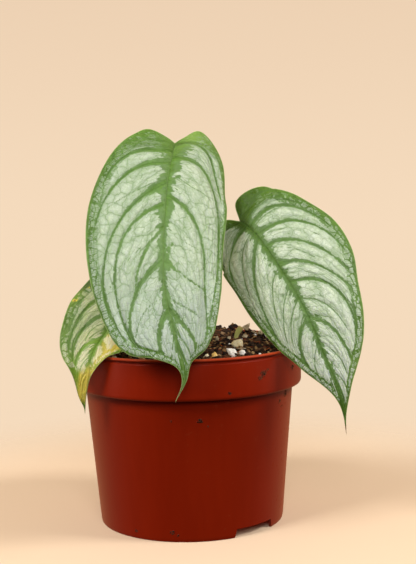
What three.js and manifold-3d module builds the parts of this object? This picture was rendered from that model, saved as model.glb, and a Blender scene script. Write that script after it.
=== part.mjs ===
// A young Monstera siltepecana in a 12 cm round plastic nursery pot.
// Millimetres, +Z up. The origin is the middle of the pot's foot, and the front of the plant faces -Y.

import * as THREE from 'three';
import Module from 'manifold-3d';
import { mergeVertices } from 'three/addons/utils/BufferGeometryUtils.js';

const wasm = await Module();
wasm.setup();

const V = (x, y, z) => new THREE.Vector3(x, y, z);
const GAP = 0.3;                // clearance kept between neighbouring pieces

// Driving dimensions of the pot
const POT_HEIGHT = 93;
const RIM_RADIUS = 60.2;        // outside of the rolled lip
const BAND_RADIUS = 59.6;       // outside of the deep rim band
const BAND_HEIGHT = 20.5;
const BODY_RADIUS = 55;         // outside of the body right below the band
const FOOT_RADIUS = 48.6;
const WALL = 1.2;
const LIP_HEIGHT = 1.6;
const FLOOR_LIFT = 4.9;         // underside of the raised floor
const BUTTON_RADIUS = 20;       // middle of the floor, which stands on the ground
const NOTCH_HEIGHT = 4.5;
const NOTCH_HALF_WIDTH = 13;
const NOTCH_SLANT = 1;
const NOTCH_ANGLES = [41, 221]; // degrees round from the front towards the right
const HOLE_COUNT = 6;
const HOLE_RADIUS = 4;
const HOLE_CIRCLE = 34;
const POT_SIDES = 48;

// Driving dimensions of the soil
const SOIL_RADIUS = BAND_RADIUS - WALL - GAP;
const SOIL_EDGE = 91.6;         // height of the soil at the wall
const SOIL_HEAP = 2.4;          // how much the middle stands above the edge
const SOIL_RINGS = 13;
const GRAIN_SINK = 0.45;        // share of a grain's radius that lies below the surface

// The plant's stalks
const STEM_FOOT = V(4, 6, 78);
const STEM_RADIUS = 2.75;
const STUB_FOOT = V(26, 9, 84);
const STUB_RADIUS = 1.3;
const HOLE_PLAY = 0.4;          // gap round a stalk in its hole in the soil
const STALK_SIDES = 12;

// Leaf blades
const BLADE_THICKNESS = 0.7;
const LEAF_ROWS = 30;
const LEAF_COLUMNS = 8;

// Each leaf: the midrib's path from the stalk to the drip tip, the way its upper face looks, the roll about the
// midrib (degrees at the base and at the tip), then for the left and the right half the fold at the midrib
// (degrees), how fast the half curls down (degrees a millimetre) and its flat outline, from the notch where the
// stalk joins to the tip: x is the distance from the midrib and y the distance along it.
const LEAVES = {
  front: {
    midrib: [V(-4.6, -12, 198.3), V(-8.8, -34, 176.7), V(-11.1, -58, 140.3), V(-10.5, -64, 126.4),
      V(-5.8, -70, 104.6), V(-2.2, -72, 86.4), V(-6.9, -73, 74.9)],
    face: V(0, -1, 0),
    roll: [10, 10],
    lobeLift: 0,
    halves: [
      { side: -1, fold: 4, curl: -0.45, outline: [[0, 0], [5, -2.3], [15, -3.9], [22.7, 4.6], [31.8, 25.3],
        [37.2, 48], [36.6, 73], [32.8, 91.5], [25.5, 113], [12.3, 119.1], [3.9, 126.3], [0.9, 136], [0, 144.4]] },
      { side: 1, fold: 4, curl: -1.05, outline: [[0, 0], [3.9, -5.5], [12, -14.9], [22.9, -8.8], [31.1, 4.2],
        [34, 24], [33.2, 52], [30.7, 81.2], [26.2, 98.7], [14.3, 120.5], [4.5, 126.1], [1.3, 134], [0, 144.4]] },
    ],
  },
  right: {
    midrib: [V(28.1, -8, 157.4), V(34.8, -16, 151.8), V(46.3, -31, 134.8), V(57.7, -43, 114.1),
      V(66.4, -49, 91.6), V(73.5, -51, 73.5), V(76.6, -50, 52.2)],
    face: V(-0.05, -1, 0.25),
    roll: [0, 0],
    lobeLift: 0.012,
    halves: [
      { side: -1, fold: -8, curl: -1.35, outline: [[0, 0], [4, -7], [12, -11.5], [21, -8], [27, 2], [29, 17],
        [28.4, 32], [27, 53], [22.3, 75.4], [14.9, 87.5], [7.5, 100.4], [1.9, 112.9], [0.4, 120], [0, 129.9]] },
      { side: 1, fold: 5, curl: -0.5, outline: [[0, 0], [6, -9.5], [14.8, -9.7], [22.5, -5.2], [27.5, 4.5],
        [33, 12], [37.6, 28], [36.4, 47.7], [30.1, 63.5], [25.1, 78.4], [18, 93.2], [6.2, 107.2], [1.6, 117.8], [0, 129.9]] },
    ],
  },
  left: {
    midrib: [V(-26.8, -16, 125.9), V(-33.8, -25, 114.6), V(-41.1, -34, 104.2), V(-46.8, -41, 96.2),
      V(-49.9, -45.5, 86.6), V(-51.6, -44, 75.9), V(-52.2, -41, 64.3)],
    face: V(-0.3, -1, 0.4),
    roll: [0, 0],
    lobeLift: 0,
    halves: [
      { side: -1, fold: 4, curl: -0.5, outline: [[0, 0], [4, -6], [12, -9.5], [20.5, -5.5], [25.6, 4.5],
        [27.6, 17], [25.5, 28.5], [21.4, 40.9], [15.7, 49.1], [7.1, 59.2], [3, 69.7], [0.6, 74.5], [0, 77.9]] },
      { side: 1, fold: 11, curl: -0.5, outline: [[0, 0], [3.5, -6], [11, -9.5], [19, -6], [24, 4], [24.5, 17],
        [20, 31], [14.1, 41.5], [7.3, 49.2], [2.5, 56.9], [1, 65.9], [0, 77.9]] },
    ],
  },
};
const RAY_START = 2;            // crowding of the ray feet along the midrib
const RAY_END = 0.9;            // crowding of the ray ends along the margin
const RAY_REACH = 0.8;          // the ray's turning point, as a share of its way out
const RAY_RISE = 0.25;          // and as a share of its way along
const COLUMN_CROWDING = 1.8;    // finer columns at the midrib
const ROW_CROWDING = 1.25;      // finer rows at the tip
const RIDGE_HEIGHT = 1.1;       // midrib on the underside at the stalk
const RIDGE_WIDTH = 1.5;
const WAVE_HEIGHT = 0.7;
const WAVE_COUNT = 3;

// Small helpers

function seeded(seed) {
  let state = seed;
  return () => {
    state = (state * 1664525 + 1013904223) % 4294967296;
    return state / 4294967296;
  };
}

const mix = (a, b, t) => a + (b - a) * t;
const radians = THREE.MathUtils.degToRad;

function signedVolume(position, index) {
  const a = V(0, 0, 0);
  const b = V(0, 0, 0);
  const c = V(0, 0, 0);
  let sum = 0;
  for (let i = 0; i < index.length; i += 3) {
    a.fromBufferAttribute(position, index[i]);
    b.fromBufferAttribute(position, index[i + 1]);
    c.fromBufferAttribute(position, index[i + 2]);
    sum += a.dot(b.cross(c));
  }
  return sum / 6;
}

// One closed mesh with shared vertices and its faces pointing out
function closed(geometry) {
  geometry.deleteAttribute('normal');
  geometry.deleteAttribute('uv');
  const merged = mergeVertices(geometry, 1e-4);
  const index = [];
  const source = merged.index.array;
  for (let i = 0; i < source.length; i += 3) {
    const [a, b, c] = [source[i], source[i + 1], source[i + 2]];
    if (a !== b && b !== c && c !== a) index.push(a, b, c);
  }
  const position = merged.attributes.position;
  if (signedVolume(position, index) < 0) index.reverse();
  merged.setIndex(index);
  return merged;
}

function fromTriangles(points, triangles) {
  const geometry = new THREE.BufferGeometry();
  geometry.setAttribute('position', new THREE.Float32BufferAttribute(points.flatMap((p) => [p.x, p.y, p.z]), 3));
  geometry.setIndex(triangles);
  return closed(geometry);
}

function toSolid(geometry) {
  const mesh = closed(geometry);
  return new wasm.Manifold(new wasm.Mesh({
    numProp: 3,
    vertProperties: new Float32Array(mesh.attributes.position.array),
    triVerts: new Uint32Array(mesh.index.array),
  }));
}

function toGeometry(solid) {
  const { vertProperties, triVerts, numProp } = solid.getMesh();
  const geometry = new THREE.BufferGeometry();
  const count = vertProperties.length / numProp;
  const position = new Float32Array(count * 3);
  for (let i = 0; i < count; i += 1) {
    for (let k = 0; k < 3; k += 1) position[i * 3 + k] = vertProperties[i * numProp + k];
  }
  geometry.setAttribute('position', new THREE.BufferAttribute(position, 3));
  geometry.setIndex(Array.from(triVerts));
  return geometry;
}

// A solid of revolution about Z from a profile of [radius, height] points
function revolved(profile, sides) {
  const points = profile.map(([r, z]) => new THREE.Vector2(r, z));
  return new THREE.LatheGeometry(points, sides).rotateX(Math.PI / 2);
}

function uprightCylinder(radius, from, to, sides) {
  return new THREE.CylinderGeometry(radius, radius, to - from, sides)
    .rotateX(Math.PI / 2)
    .translate(0, 0, (from + to) / 2);
}

// The pot

// Inside of the pot from the middle of the floor to the lip, moved into the space by the given gap
function innerProfile(gap) {
  const slope = (BODY_RADIUS - FOOT_RADIUS) / (POT_HEIGHT - BAND_HEIGHT);
  const floor = FLOOR_LIFT + WALL + gap;
  const ledge = POT_HEIGHT - BAND_HEIGHT + WALL + gap;
  return [
    [0, WALL + gap],
    [BUTTON_RADIUS - WALL - gap, WALL + gap],
    [BUTTON_RADIUS + 2 - gap, floor],
    [FOOT_RADIUS + slope * floor - WALL - 1 - gap, floor],
    [FOOT_RADIUS + slope * (floor + 1) - WALL - gap, floor + 1],
    [BODY_RADIUS - WALL - gap, ledge],
    [BAND_RADIUS - WALL - 0.4 - gap, ledge],
    [BAND_RADIUS - WALL - gap, ledge + 0.6],
  ];
}

function pot() {
  const underBand = POT_HEIGHT - BAND_HEIGHT;
  const lip = POT_HEIGHT - LIP_HEIGHT;
  const outside = [
    [0, 0],
    [BUTTON_RADIUS, 0],
    [BUTTON_RADIUS + 3, FLOOR_LIFT],
    [FOOT_RADIUS - WALL, FLOOR_LIFT],
    [FOOT_RADIUS - WALL, 0],
    [FOOT_RADIUS - 0.6, 0],
    [FOOT_RADIUS - 0.1, 0.6],
    [FOOT_RADIUS + 0.15, 1.8],
    [BODY_RADIUS, underBand],
    [BAND_RADIUS - 0.9, underBand],
    [BAND_RADIUS - 0.25, underBand + 0.5],
    [BAND_RADIUS, lip - 0.3],
    [RIM_RADIUS - 0.1, lip],
    [RIM_RADIUS, POT_HEIGHT - 0.6],
    [RIM_RADIUS - 0.5, POT_HEIGHT],
    [BAND_RADIUS - WALL + 0.4, POT_HEIGHT],
    [BAND_RADIUS - WALL, POT_HEIGHT - 0.5],
  ];
  let solid = toSolid(revolved([...outside, ...innerProfile(0).reverse()], POT_SIDES));

  const notch = new THREE.Shape();
  notch.moveTo(-NOTCH_HALF_WIDTH, -1);
  notch.lineTo(NOTCH_HALF_WIDTH, -1);
  notch.lineTo(NOTCH_HALF_WIDTH - NOTCH_SLANT, NOTCH_HEIGHT);
  notch.lineTo(-NOTCH_HALF_WIDTH + NOTCH_SLANT, NOTCH_HEIGHT);
  for (const angle of NOTCH_ANGLES) {
    const cutter = new THREE.ExtrudeGeometry(notch, { depth: 12, bevelEnabled: false })
      .rotateX(Math.PI / 2)
      .translate(0, -FOOT_RADIUS + 8, 0)
      .rotateZ(radians(angle));
    solid = solid.subtract(toSolid(cutter));
  }

  for (let i = 0; i < HOLE_COUNT; i += 1) {
    const angle = (2 * Math.PI * (i + 0.5)) / HOLE_COUNT;
    const drill = uprightCylinder(HOLE_RADIUS, FLOOR_LIFT - 1, FLOOR_LIFT + WALL + 1, 16)
      .translate(HOLE_CIRCLE * Math.cos(angle), HOLE_CIRCLE * Math.sin(angle), 0);
    solid = solid.subtract(toSolid(drill));
  }
  return toGeometry(solid);
}

// The soil

const latticeValue = (i, j) => {
  const s = Math.sin(i * 127.1 + j * 311.7) * 43758.5453;
  return s - Math.floor(s);
};

// Smooth noise between -1 and 1 with bumps of the given size
function lumps(x, y, size) {
  const [u, v] = [x / size, y / size];
  const [i, j] = [Math.floor(u), Math.floor(v)];
  const ease = (t) => t * t * (3 - 2 * t);
  const [a, b] = [ease(u - i), ease(v - j)];
  const low = mix(latticeValue(i, j), latticeValue(i + 1, j), a);
  const high = mix(latticeValue(i, j + 1), latticeValue(i + 1, j + 1), a);
  return mix(low, high, b) * 2 - 1;
}

// Clods that stand out of the surface: x, y, radius, height
const CLODS = [
  [16, 42, 7, 4], [27, 41, 8, 5], [35, 36, 6, 3], [43, 31, 8, 4], [-14, 38, 9, 4], [-33, 27, 8, 3.5],
  [-42, 5, 9, 3], [-8, 22, 8, 3], [13, 21, 7, 3], [40, 2, 8, 2], [-22, 8, 7, 2], [-1, 45, 8, 4],
  [22, 26, 7, 3], [35, 12, 7, 2.5], [-48, 18, 6, 3],
];

function soilHeight(x, y) {
  const r = Math.min(1, Math.hypot(x, y) / SOIL_RADIUS);
  const towardsMiddle = Math.min(1, (1 - r) * 6);
  const clods = CLODS.map(([cx, cy, radius, height]) => {
    const d = Math.hypot(x - cx, y - cy) / radius;
    return d < 1 ? height * (1 - d * d) ** 2 : 0;
  });
  const roughness = 1.3 * lumps(x, y, 9) + 0.8 * lumps(x + 40, y - 17, 4.5);
  return SOIL_EDGE + SOIL_HEAP * (1 - r * r) + towardsMiddle * (roughness + Math.max(...clods));
}

function soilBody() {
  const side = innerProfile(GAP);
  const points = [V(0, 0, side[0][1])];
  const rings = side.slice(1).map(([r, z]) => ({ r, height: () => z }));
  for (let k = SOIL_RINGS; k > 0; k -= 1) rings.push({ r: (SOIL_RADIUS * k) / SOIL_RINGS, height: soilHeight });
  for (const { r, height } of rings) {
    for (let i = 0; i < POT_SIDES; i += 1) {
      const angle = (2 * Math.PI * i) / POT_SIDES;
      const [x, y] = [r * Math.cos(angle), r * Math.sin(angle)];
      points.push(V(x, y, height(x, y)));
    }
  }
  points.push(V(0, 0, soilHeight(0, 0)));
  const triangles = [];
  const at = (ring, i) => 1 + ring * POT_SIDES + (i % POT_SIDES);
  const last = rings.length - 1;
  for (let i = 0; i < POT_SIDES; i += 1) {
    triangles.push(0, at(0, i + 1), at(0, i));
    for (let ring = 0; ring < last; ring += 1) {
      triangles.push(at(ring, i), at(ring, i + 1), at(ring + 1, i + 1));
      triangles.push(at(ring, i), at(ring + 1, i + 1), at(ring + 1, i));
    }
    triangles.push(at(last, i), at(last, i + 1), points.length - 1);
  }
  return toSolid(fromTriangles(points, triangles));
}

// A lump of perlite, bark or stone: a squashed, turned ball with few faces
function lump(x, y, size, flatness, turn) {
  const geometry = new THREE.IcosahedronGeometry(1, 0);
  geometry.scale(size, size * (0.65 + 0.2 * Math.sin(turn * 3)), size * flatness);
  geometry.rotateX(0.5 * Math.sin(turn * 7));
  geometry.rotateZ(turn);
  const z = soilHeight(x, y) + size * flatness * (1 - 2 * GRAIN_SINK);
  return toSolid(geometry.translate(x, y, z));
}

// Larger grains that lie where they are seen: x, y, size, flatness, turn
const GRAINS = [
  [26.5, -16, 3.1, 0.75, 2.3], [22, -40, 3, 0.8, 0.4], [28.5, -41.5, 2.3, 0.9, 1.5], [13.5, -45, 2, 0.8, 2.6],
  [33.5, 38, 3.4, 0.6, 0.5], [40, 28, 2.4, 0.5, 1.1], [-37, -42, 1.6, 0.7, 0.9], [35, -42, 1.2, 0.9, 0.2],
];
const SMALL_GRAINS = 22;

function soil() {
  let solid = soilBody();
  const random = seeded(7);
  const grains = GRAINS.map((grain) => lump(...grain));
  for (let i = 0; i < SMALL_GRAINS; i += 1) {
    const angle = 2 * Math.PI * random();
    const r = 10 + 43 * Math.sqrt(random());
    grains.push(lump(r * Math.cos(angle), r * Math.sin(angle), 1.3 + 1.2 * random(), 0.8, 6 * random()));
  }
  for (const grain of grains) solid = solid.add(grain);
  for (const [foot, radius] of [[STEM_FOOT, STEM_RADIUS], [STUB_FOOT, STUB_RADIUS]]) {
    const hole = uprightCylinder(radius + HOLE_PLAY, foot.z - GAP, POT_HEIGHT + 20, 24)
      .translate(foot.x, foot.y, 0);
    solid = solid.subtract(toSolid(hole));
  }
  return toGeometry(solid);
}

// Stalks

// A closed stalk along a path; radiusAt(t, angle) gives its radius, with angle 0 towards the given upper side
function stalk(path, steps, radiusAt, upperSide) {
  const curve = new THREE.CatmullRomCurve3(path, false, 'centripetal');
  const points = [];
  for (let k = 0; k <= steps; k += 1) {
    const t = k / steps;
    const centre = curve.getPointAt(t);
    const along = curve.getTangentAt(t);
    const up = upperSide.clone().addScaledVector(along, -upperSide.dot(along)).normalize();
    const across = along.clone().cross(up);
    for (let i = 0; i < STALK_SIDES; i += 1) {
      const angle = (2 * Math.PI * i) / STALK_SIDES;
      const r = radiusAt(t, angle);
      points.push(centre.clone().addScaledVector(up, r * Math.cos(angle)).addScaledVector(across, r * Math.sin(angle)));
    }
  }
  const start = points.push(curve.getPointAt(0)) - 1;
  const end = points.push(curve.getPointAt(1)) - 1;
  const at = (k, i) => k * STALK_SIDES + (i % STALK_SIDES);
  const triangles = [];
  for (let i = 0; i < STALK_SIDES; i += 1) {
    triangles.push(start, at(0, i + 1), at(0, i), end, at(steps, i), at(steps, i + 1));
    for (let k = 0; k < steps; k += 1) {
      triangles.push(at(k, i), at(k, i + 1), at(k + 1, i + 1));
      triangles.push(at(k, i), at(k + 1, i + 1), at(k + 1, i));
    }
  }
  return fromTriangles(points, triangles);
}

const bump = (t, centre, width) => Math.exp(-(((t - centre) / width) ** 2));

// The main stem, with swollen rings where leaves grow or grew
const STEM_PATH = [STEM_FOOT, V(4, 6, 92), V(3.6, 5.6, 98), V(2, 4, 105), V(0, 2, 112)];
const STEM_RINGS = [0.57, 0.69, 0.81, 0.94];
const RING_SWELL = 0.1;
function stem() {
  const radius = (t) => {
    const ring = STEM_RINGS.reduce((sum, at) => sum + RING_SWELL * bump(t, at, 0.025), 0);
    return STEM_RADIUS * (1 - 0.1 * t) * (1 + ring);
  };
  return stalk(STEM_PATH, 40, radius, V(0, -1, 0));
}

// A leaf stalk: sheathed and stout at its foot, grooved on its upper side, swollen at the knee below the blade
const STALK_RADIUS = 1.35;
function leafStalk(path, steps, sheath, upperSide) {
  const radius = (t, angle) => {
    const foot = 0.75 * Math.max(0, 1 - t / sheath);
    const knee = 0.22 * bump(t, 0.94, 0.05);
    const groove = 0.22 * bump(Math.sin(angle / 2), 0, 0.35) * (1 - knee);
    return STALK_RADIUS * (1 + foot + knee - groove);
  };
  return stalk(path, steps, radius, upperSide);
}

const STALKS = {
  front: { path: [V(-0.5, 1.9, 113.3), V(-1, 3.5, 128), V(-1, 5, 152), V(-1.5, 3, 178), V(-3.4, -4.5, 190),
    V(-5, -11.5, 196.1)], sheath: 0.3, upper: V(0, -1, 0.2) },
  right: { path: [V(8.1, 4.6, 102), V(8.8, 4.2, 112), V(13, 3.2, 128), V(21, 1.6, 141.5), V(27.2, -1.2, 149),
    V(29.6, -7, 155.4)], sheath: 0.3, upper: V(0.9, -0.4, 0.2) },
  left: { path: [V(-1.9, 3.1, 100), V(-3.8, 2.3, 106), V(-9, -1, 113), V(-17, -5.5, 117.5), V(-23.3, -10.2, 119.8),
    V(-27, -15.2, 123.7)], sheath: 0.35, upper: V(-0.7, -0.5, 0.6) },
};

// The short green foot of a leaf stalk that withered away
function stub() {
  const path = [STUB_FOOT, V(26, 9, 93), V(27.2, 9.4, 96.5), V(29.6, 10, 101)];
  return stalk(path, 16, (t) => STUB_RADIUS * (1 - 0.15 * t + 0.1 * bump(t, 0.95, 0.08)), V(0, -1, 0));
}

// Leaf blades

// Carries a point of the flat leaf to its place on the bent one, with the blade's normal there
function bender({ midrib, face, roll, lobeLift }) {
  const curve = new THREE.CatmullRomCurve3(midrib, false, 'centripetal');
  curve.arcLengthDivisions = 400;
  const length = curve.getLength();
  const bend = (half, x, y) => {
    const t = THREE.MathUtils.clamp(y / length, 0, 1);
    const along = curve.getTangentAt(t);
    const up = face.clone().addScaledVector(along, -face.dot(along)).normalize();
    up.applyAxisAngle(along, -radians(mix(roll[0], roll[1], t)));
    const across = up.clone().cross(along);
    const beyond = Math.min(0, y);
    const start = radians(half.fold);
    const rate = radians(half.curl);
    const slope = start + rate * x;
    const out = (Math.sin(slope) - Math.sin(start)) / rate;
    const rise = (Math.cos(start) - Math.cos(slope)) / rate;
    const point = curve.getPointAt(t)
      .addScaledVector(along, beyond)
      .addScaledVector(across, half.side * out)
      .addScaledVector(up, rise + lobeLift * beyond * beyond);
    const normal = x === 0 ? up : up.clone().multiplyScalar(Math.cos(slope))
      .addScaledVector(across, -half.side * Math.sin(slope));
    return { point, normal };
  };
  return { bend, length };
}

// The blade's grid follows the side veins: each row is a curved ray from the midrib to the margin
function leaf(spec) {
  const { bend, length } = bender(spec);
  const top = [];
  const bottom = [];
  const place = (half, x, y, u, w) => {
    const { point, normal } = bend(half, x, y);
    const wave = WAVE_HEIGHT * u ** 3 * Math.sin(Math.PI * w) * Math.sin(2 * Math.PI * WAVE_COUNT * w + half.side);
    const ridge = RIDGE_HEIGHT * (1 - 0.9 * w) * bump(x, 0, RIDGE_WIDTH);
    point.addScaledVector(normal, wave);
    top.push(point.clone().addScaledVector(normal, BLADE_THICKNESS / 2));
    bottom.push(point.clone().addScaledVector(normal, -BLADE_THICKNESS / 2 - ridge));
    return top.length - 1;
  };

  const [leftHalf, rightHalf] = spec.halves;
  const spine = [];
  for (let i = 0; i <= LEAF_ROWS; i += 1) {
    const w = 1 - (1 - i / LEAF_ROWS) ** ROW_CROWDING;
    spine.push(place(leftHalf, 0, length * w ** RAY_START, 0, w));
  }
  const faces = [];
  const margins = [leftHalf, rightHalf].map((half) => {
    const margin = new THREE.CatmullRomCurve3(half.outline.map(([x, y]) => V(x, y, 0)), false, 'centripetal');
    const grid = [];
    for (let i = 0; i <= LEAF_ROWS; i += 1) {
      const w = 1 - (1 - i / LEAF_ROWS) ** ROW_CROWDING;
      const foot = length * w ** RAY_START;
      const end = margin.getPointAt(w ** RAY_END);
      const turn = { x: RAY_REACH * end.x, y: mix(foot, end.y, RAY_RISE) };
      const row = [spine[i]];
      for (let j = 1; j <= LEAF_COLUMNS; j += 1) {
        const u = (j / LEAF_COLUMNS) ** COLUMN_CROWDING;
        const x = 2 * u * (1 - u) * turn.x + u * u * end.x;
        const y = (1 - u) ** 2 * foot + 2 * u * (1 - u) * turn.y + u * u * end.y;
        const isPole = i === 0 || i === LEAF_ROWS;
        row.push(isPole ? spine[i] : place(half, x, y, u, w));
      }
      grid.push(row);
    }
    for (let i = 0; i < LEAF_ROWS; i += 1) {
      for (let j = 0; j < LEAF_COLUMNS; j += 1) {
        const quad = [grid[i][j], grid[i][j + 1], grid[i + 1][j + 1], grid[i + 1][j]];
        if (half.side > 0) quad.reverse();
        const [a, b, c, d] = quad;
        if (i > 0) faces.push(half.side > 0 ? [b, c, d] : [a, b, c]);
        if (i < LEAF_ROWS - 1) faces.push(half.side > 0 ? [a, b, d] : [a, c, d]);
      }
    }
    return grid.map((row) => row[LEAF_COLUMNS]);
  });

  const count = top.length;
  const triangles = [];
  for (const [a, b, c] of faces) {
    if (a === b || b === c || c === a) continue;
    triangles.push(a, b, c, count + a, count + c, count + b);
  }
  margins.forEach((margin, side) => {
    for (let i = 0; i < LEAF_ROWS; i += 1) {
      const [a, b] = side === 0 ? [margin[i], margin[i + 1]] : [margin[i + 1], margin[i]];
      triangles.push(a, count + a, count + b, a, count + b, b);
    }
  });
  return fromTriangles([...top, ...bottom], triangles);
}

// The finished plant

function piece(name, geometry, color, roughness) {
  const material = new THREE.MeshStandardMaterial({ color, roughness, metalness: 0 });
  const mesh = new THREE.Mesh(geometry, material);
  mesh.name = name;
  return mesh;
}

const plant = new THREE.Group();
plant.add(piece('pot', pot(), 0x8f2614, 0.4));
plant.add(piece('soil', soil(), 0x2b1b12, 0.95));
plant.add(piece('stem', stem(), 0x6f8a3c, 0.6));
plant.add(piece('stalk_stub', stub(), 0x7d8c45, 0.7));
for (const [name, { path, sheath, upper }] of Object.entries(STALKS)) {
  plant.add(piece(`stalk_${name}`, leafStalk(path, name === 'front' ? 34 : 26, sheath, upper), 0x6d9440, 0.5));
}
for (const [name, spec] of Object.entries(LEAVES)) {
  plant.add(piece(`leaf_${name}`, leaf(spec), 0x8fae84, 0.5));
}

export default plant;
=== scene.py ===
"""A young Monstera siltepecana in a 12 cm plastic nursery pot.

The shapes are worked out in millimetres from the middle of the pot's foot, with Z up and the front leaf
towards -Y. They become metres when a mesh is made.
"""

import math

import bmesh
import bpy
import numpy as np
from mathutils import Matrix, Vector


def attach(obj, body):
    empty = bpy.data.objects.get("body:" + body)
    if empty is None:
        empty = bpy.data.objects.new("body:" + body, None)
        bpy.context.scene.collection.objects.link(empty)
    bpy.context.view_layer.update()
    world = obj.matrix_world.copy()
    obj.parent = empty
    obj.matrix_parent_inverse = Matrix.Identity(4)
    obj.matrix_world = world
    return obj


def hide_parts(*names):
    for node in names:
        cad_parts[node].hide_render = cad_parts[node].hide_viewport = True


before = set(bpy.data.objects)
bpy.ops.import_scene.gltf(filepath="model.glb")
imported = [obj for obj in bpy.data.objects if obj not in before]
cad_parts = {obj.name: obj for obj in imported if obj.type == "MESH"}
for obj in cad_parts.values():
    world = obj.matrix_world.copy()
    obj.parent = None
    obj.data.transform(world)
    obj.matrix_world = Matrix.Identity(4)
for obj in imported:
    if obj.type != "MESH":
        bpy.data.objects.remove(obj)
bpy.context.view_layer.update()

MM = 0.001

# Pot
POT_HEIGHT = 93.0
RIM_RADIUS = 60.2
BAND_RADIUS = 59.6
BAND_HEIGHT = 20.5
BODY_RADIUS = 55.0
FOOT_RADIUS = 48.6
WALL = 1.2
FLOOR_LIFT = 4.9
BUTTON_RADIUS = 20.0
NOTCH_HEIGHT = 4.5
NOTCH_HALF_WIDTH = 13.0
NOTCH_SLANT = 1.0
NOTCH_ANGLES = (41, 221)         # degrees round from the front towards the right
HOLE_COUNT = 6
HOLE_RADIUS = 4.0
HOLE_CIRCLE = 34.0
HOLE_SIDES = 32
SHARP_EDGE = 32                  # degrees
POT_SLOPE = (BODY_RADIUS - FOOT_RADIUS) / (POT_HEIGHT - BAND_HEIGHT)
POT_SEGMENTS = 240
CORNER_RADIUS = 0.25
CORNER_STEPS = 4

# Soil
GAP = 0.3
WELL_GAP = 0.35
SOIL_RADIUS = BAND_RADIUS - WALL - GAP
SOIL_EDGE = 91.6
SOIL_HEAP = 2.4
SOIL_RINGS = 84
SOIL_SEGMENTS = 264

# Stalks
STEM_RADIUS = 2.75
STALK_RADIUS = 1.35
STUB_RADIUS = 1.3
STUB_FOOT = (26, 9, 84)
STEM_FOOT = (4, 6, 78)

# Leaves
BLADE = 0.46                     # thickness of a blade between its veins
WAVE_HEIGHT = 0.7
WAVE_COUNT = 3
WAVE_STRETCH = 0.9               # below 1 the waves lie further apart towards the tip
PUCKER = 0.7                     # how far the blade swells between its veins
RIM_BULGE = 0.2                  # share of the blade's thickness
PATH_STEPS = 80
MARGIN_STRIDE = 3                # every third point of a margin is enough to measure from
COLUMN_CROWDING = 1.35           # above 1 the mesh columns crowd towards the midrib
VEIN_POINTS = 60
LINE_POINTS = 40
LINE_REACH = 7                   # over this run the green along a thin vein narrows to a third
FLARE_REACH = 11                 # the same for the green round the stalk
THIN_WEIGHT = 0.5                # side veins up to this weight have no green band
VEIN_WIDTH = 0.75
BAND_BLEND = 0.7                 # how softly the green bands run into each other
STREAK_SPREAD = 150              # how far the streaks' pattern runs on from the stalk to the tip
STREAK_SHIFT = 300               # the two halves read their patterns from places far apart
RIM_SHIFT = 200

# Cells of the vein net per millimetre
WIDE_NET = 0.19
NET = 0.29
FINE_NET = 0.85

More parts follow.
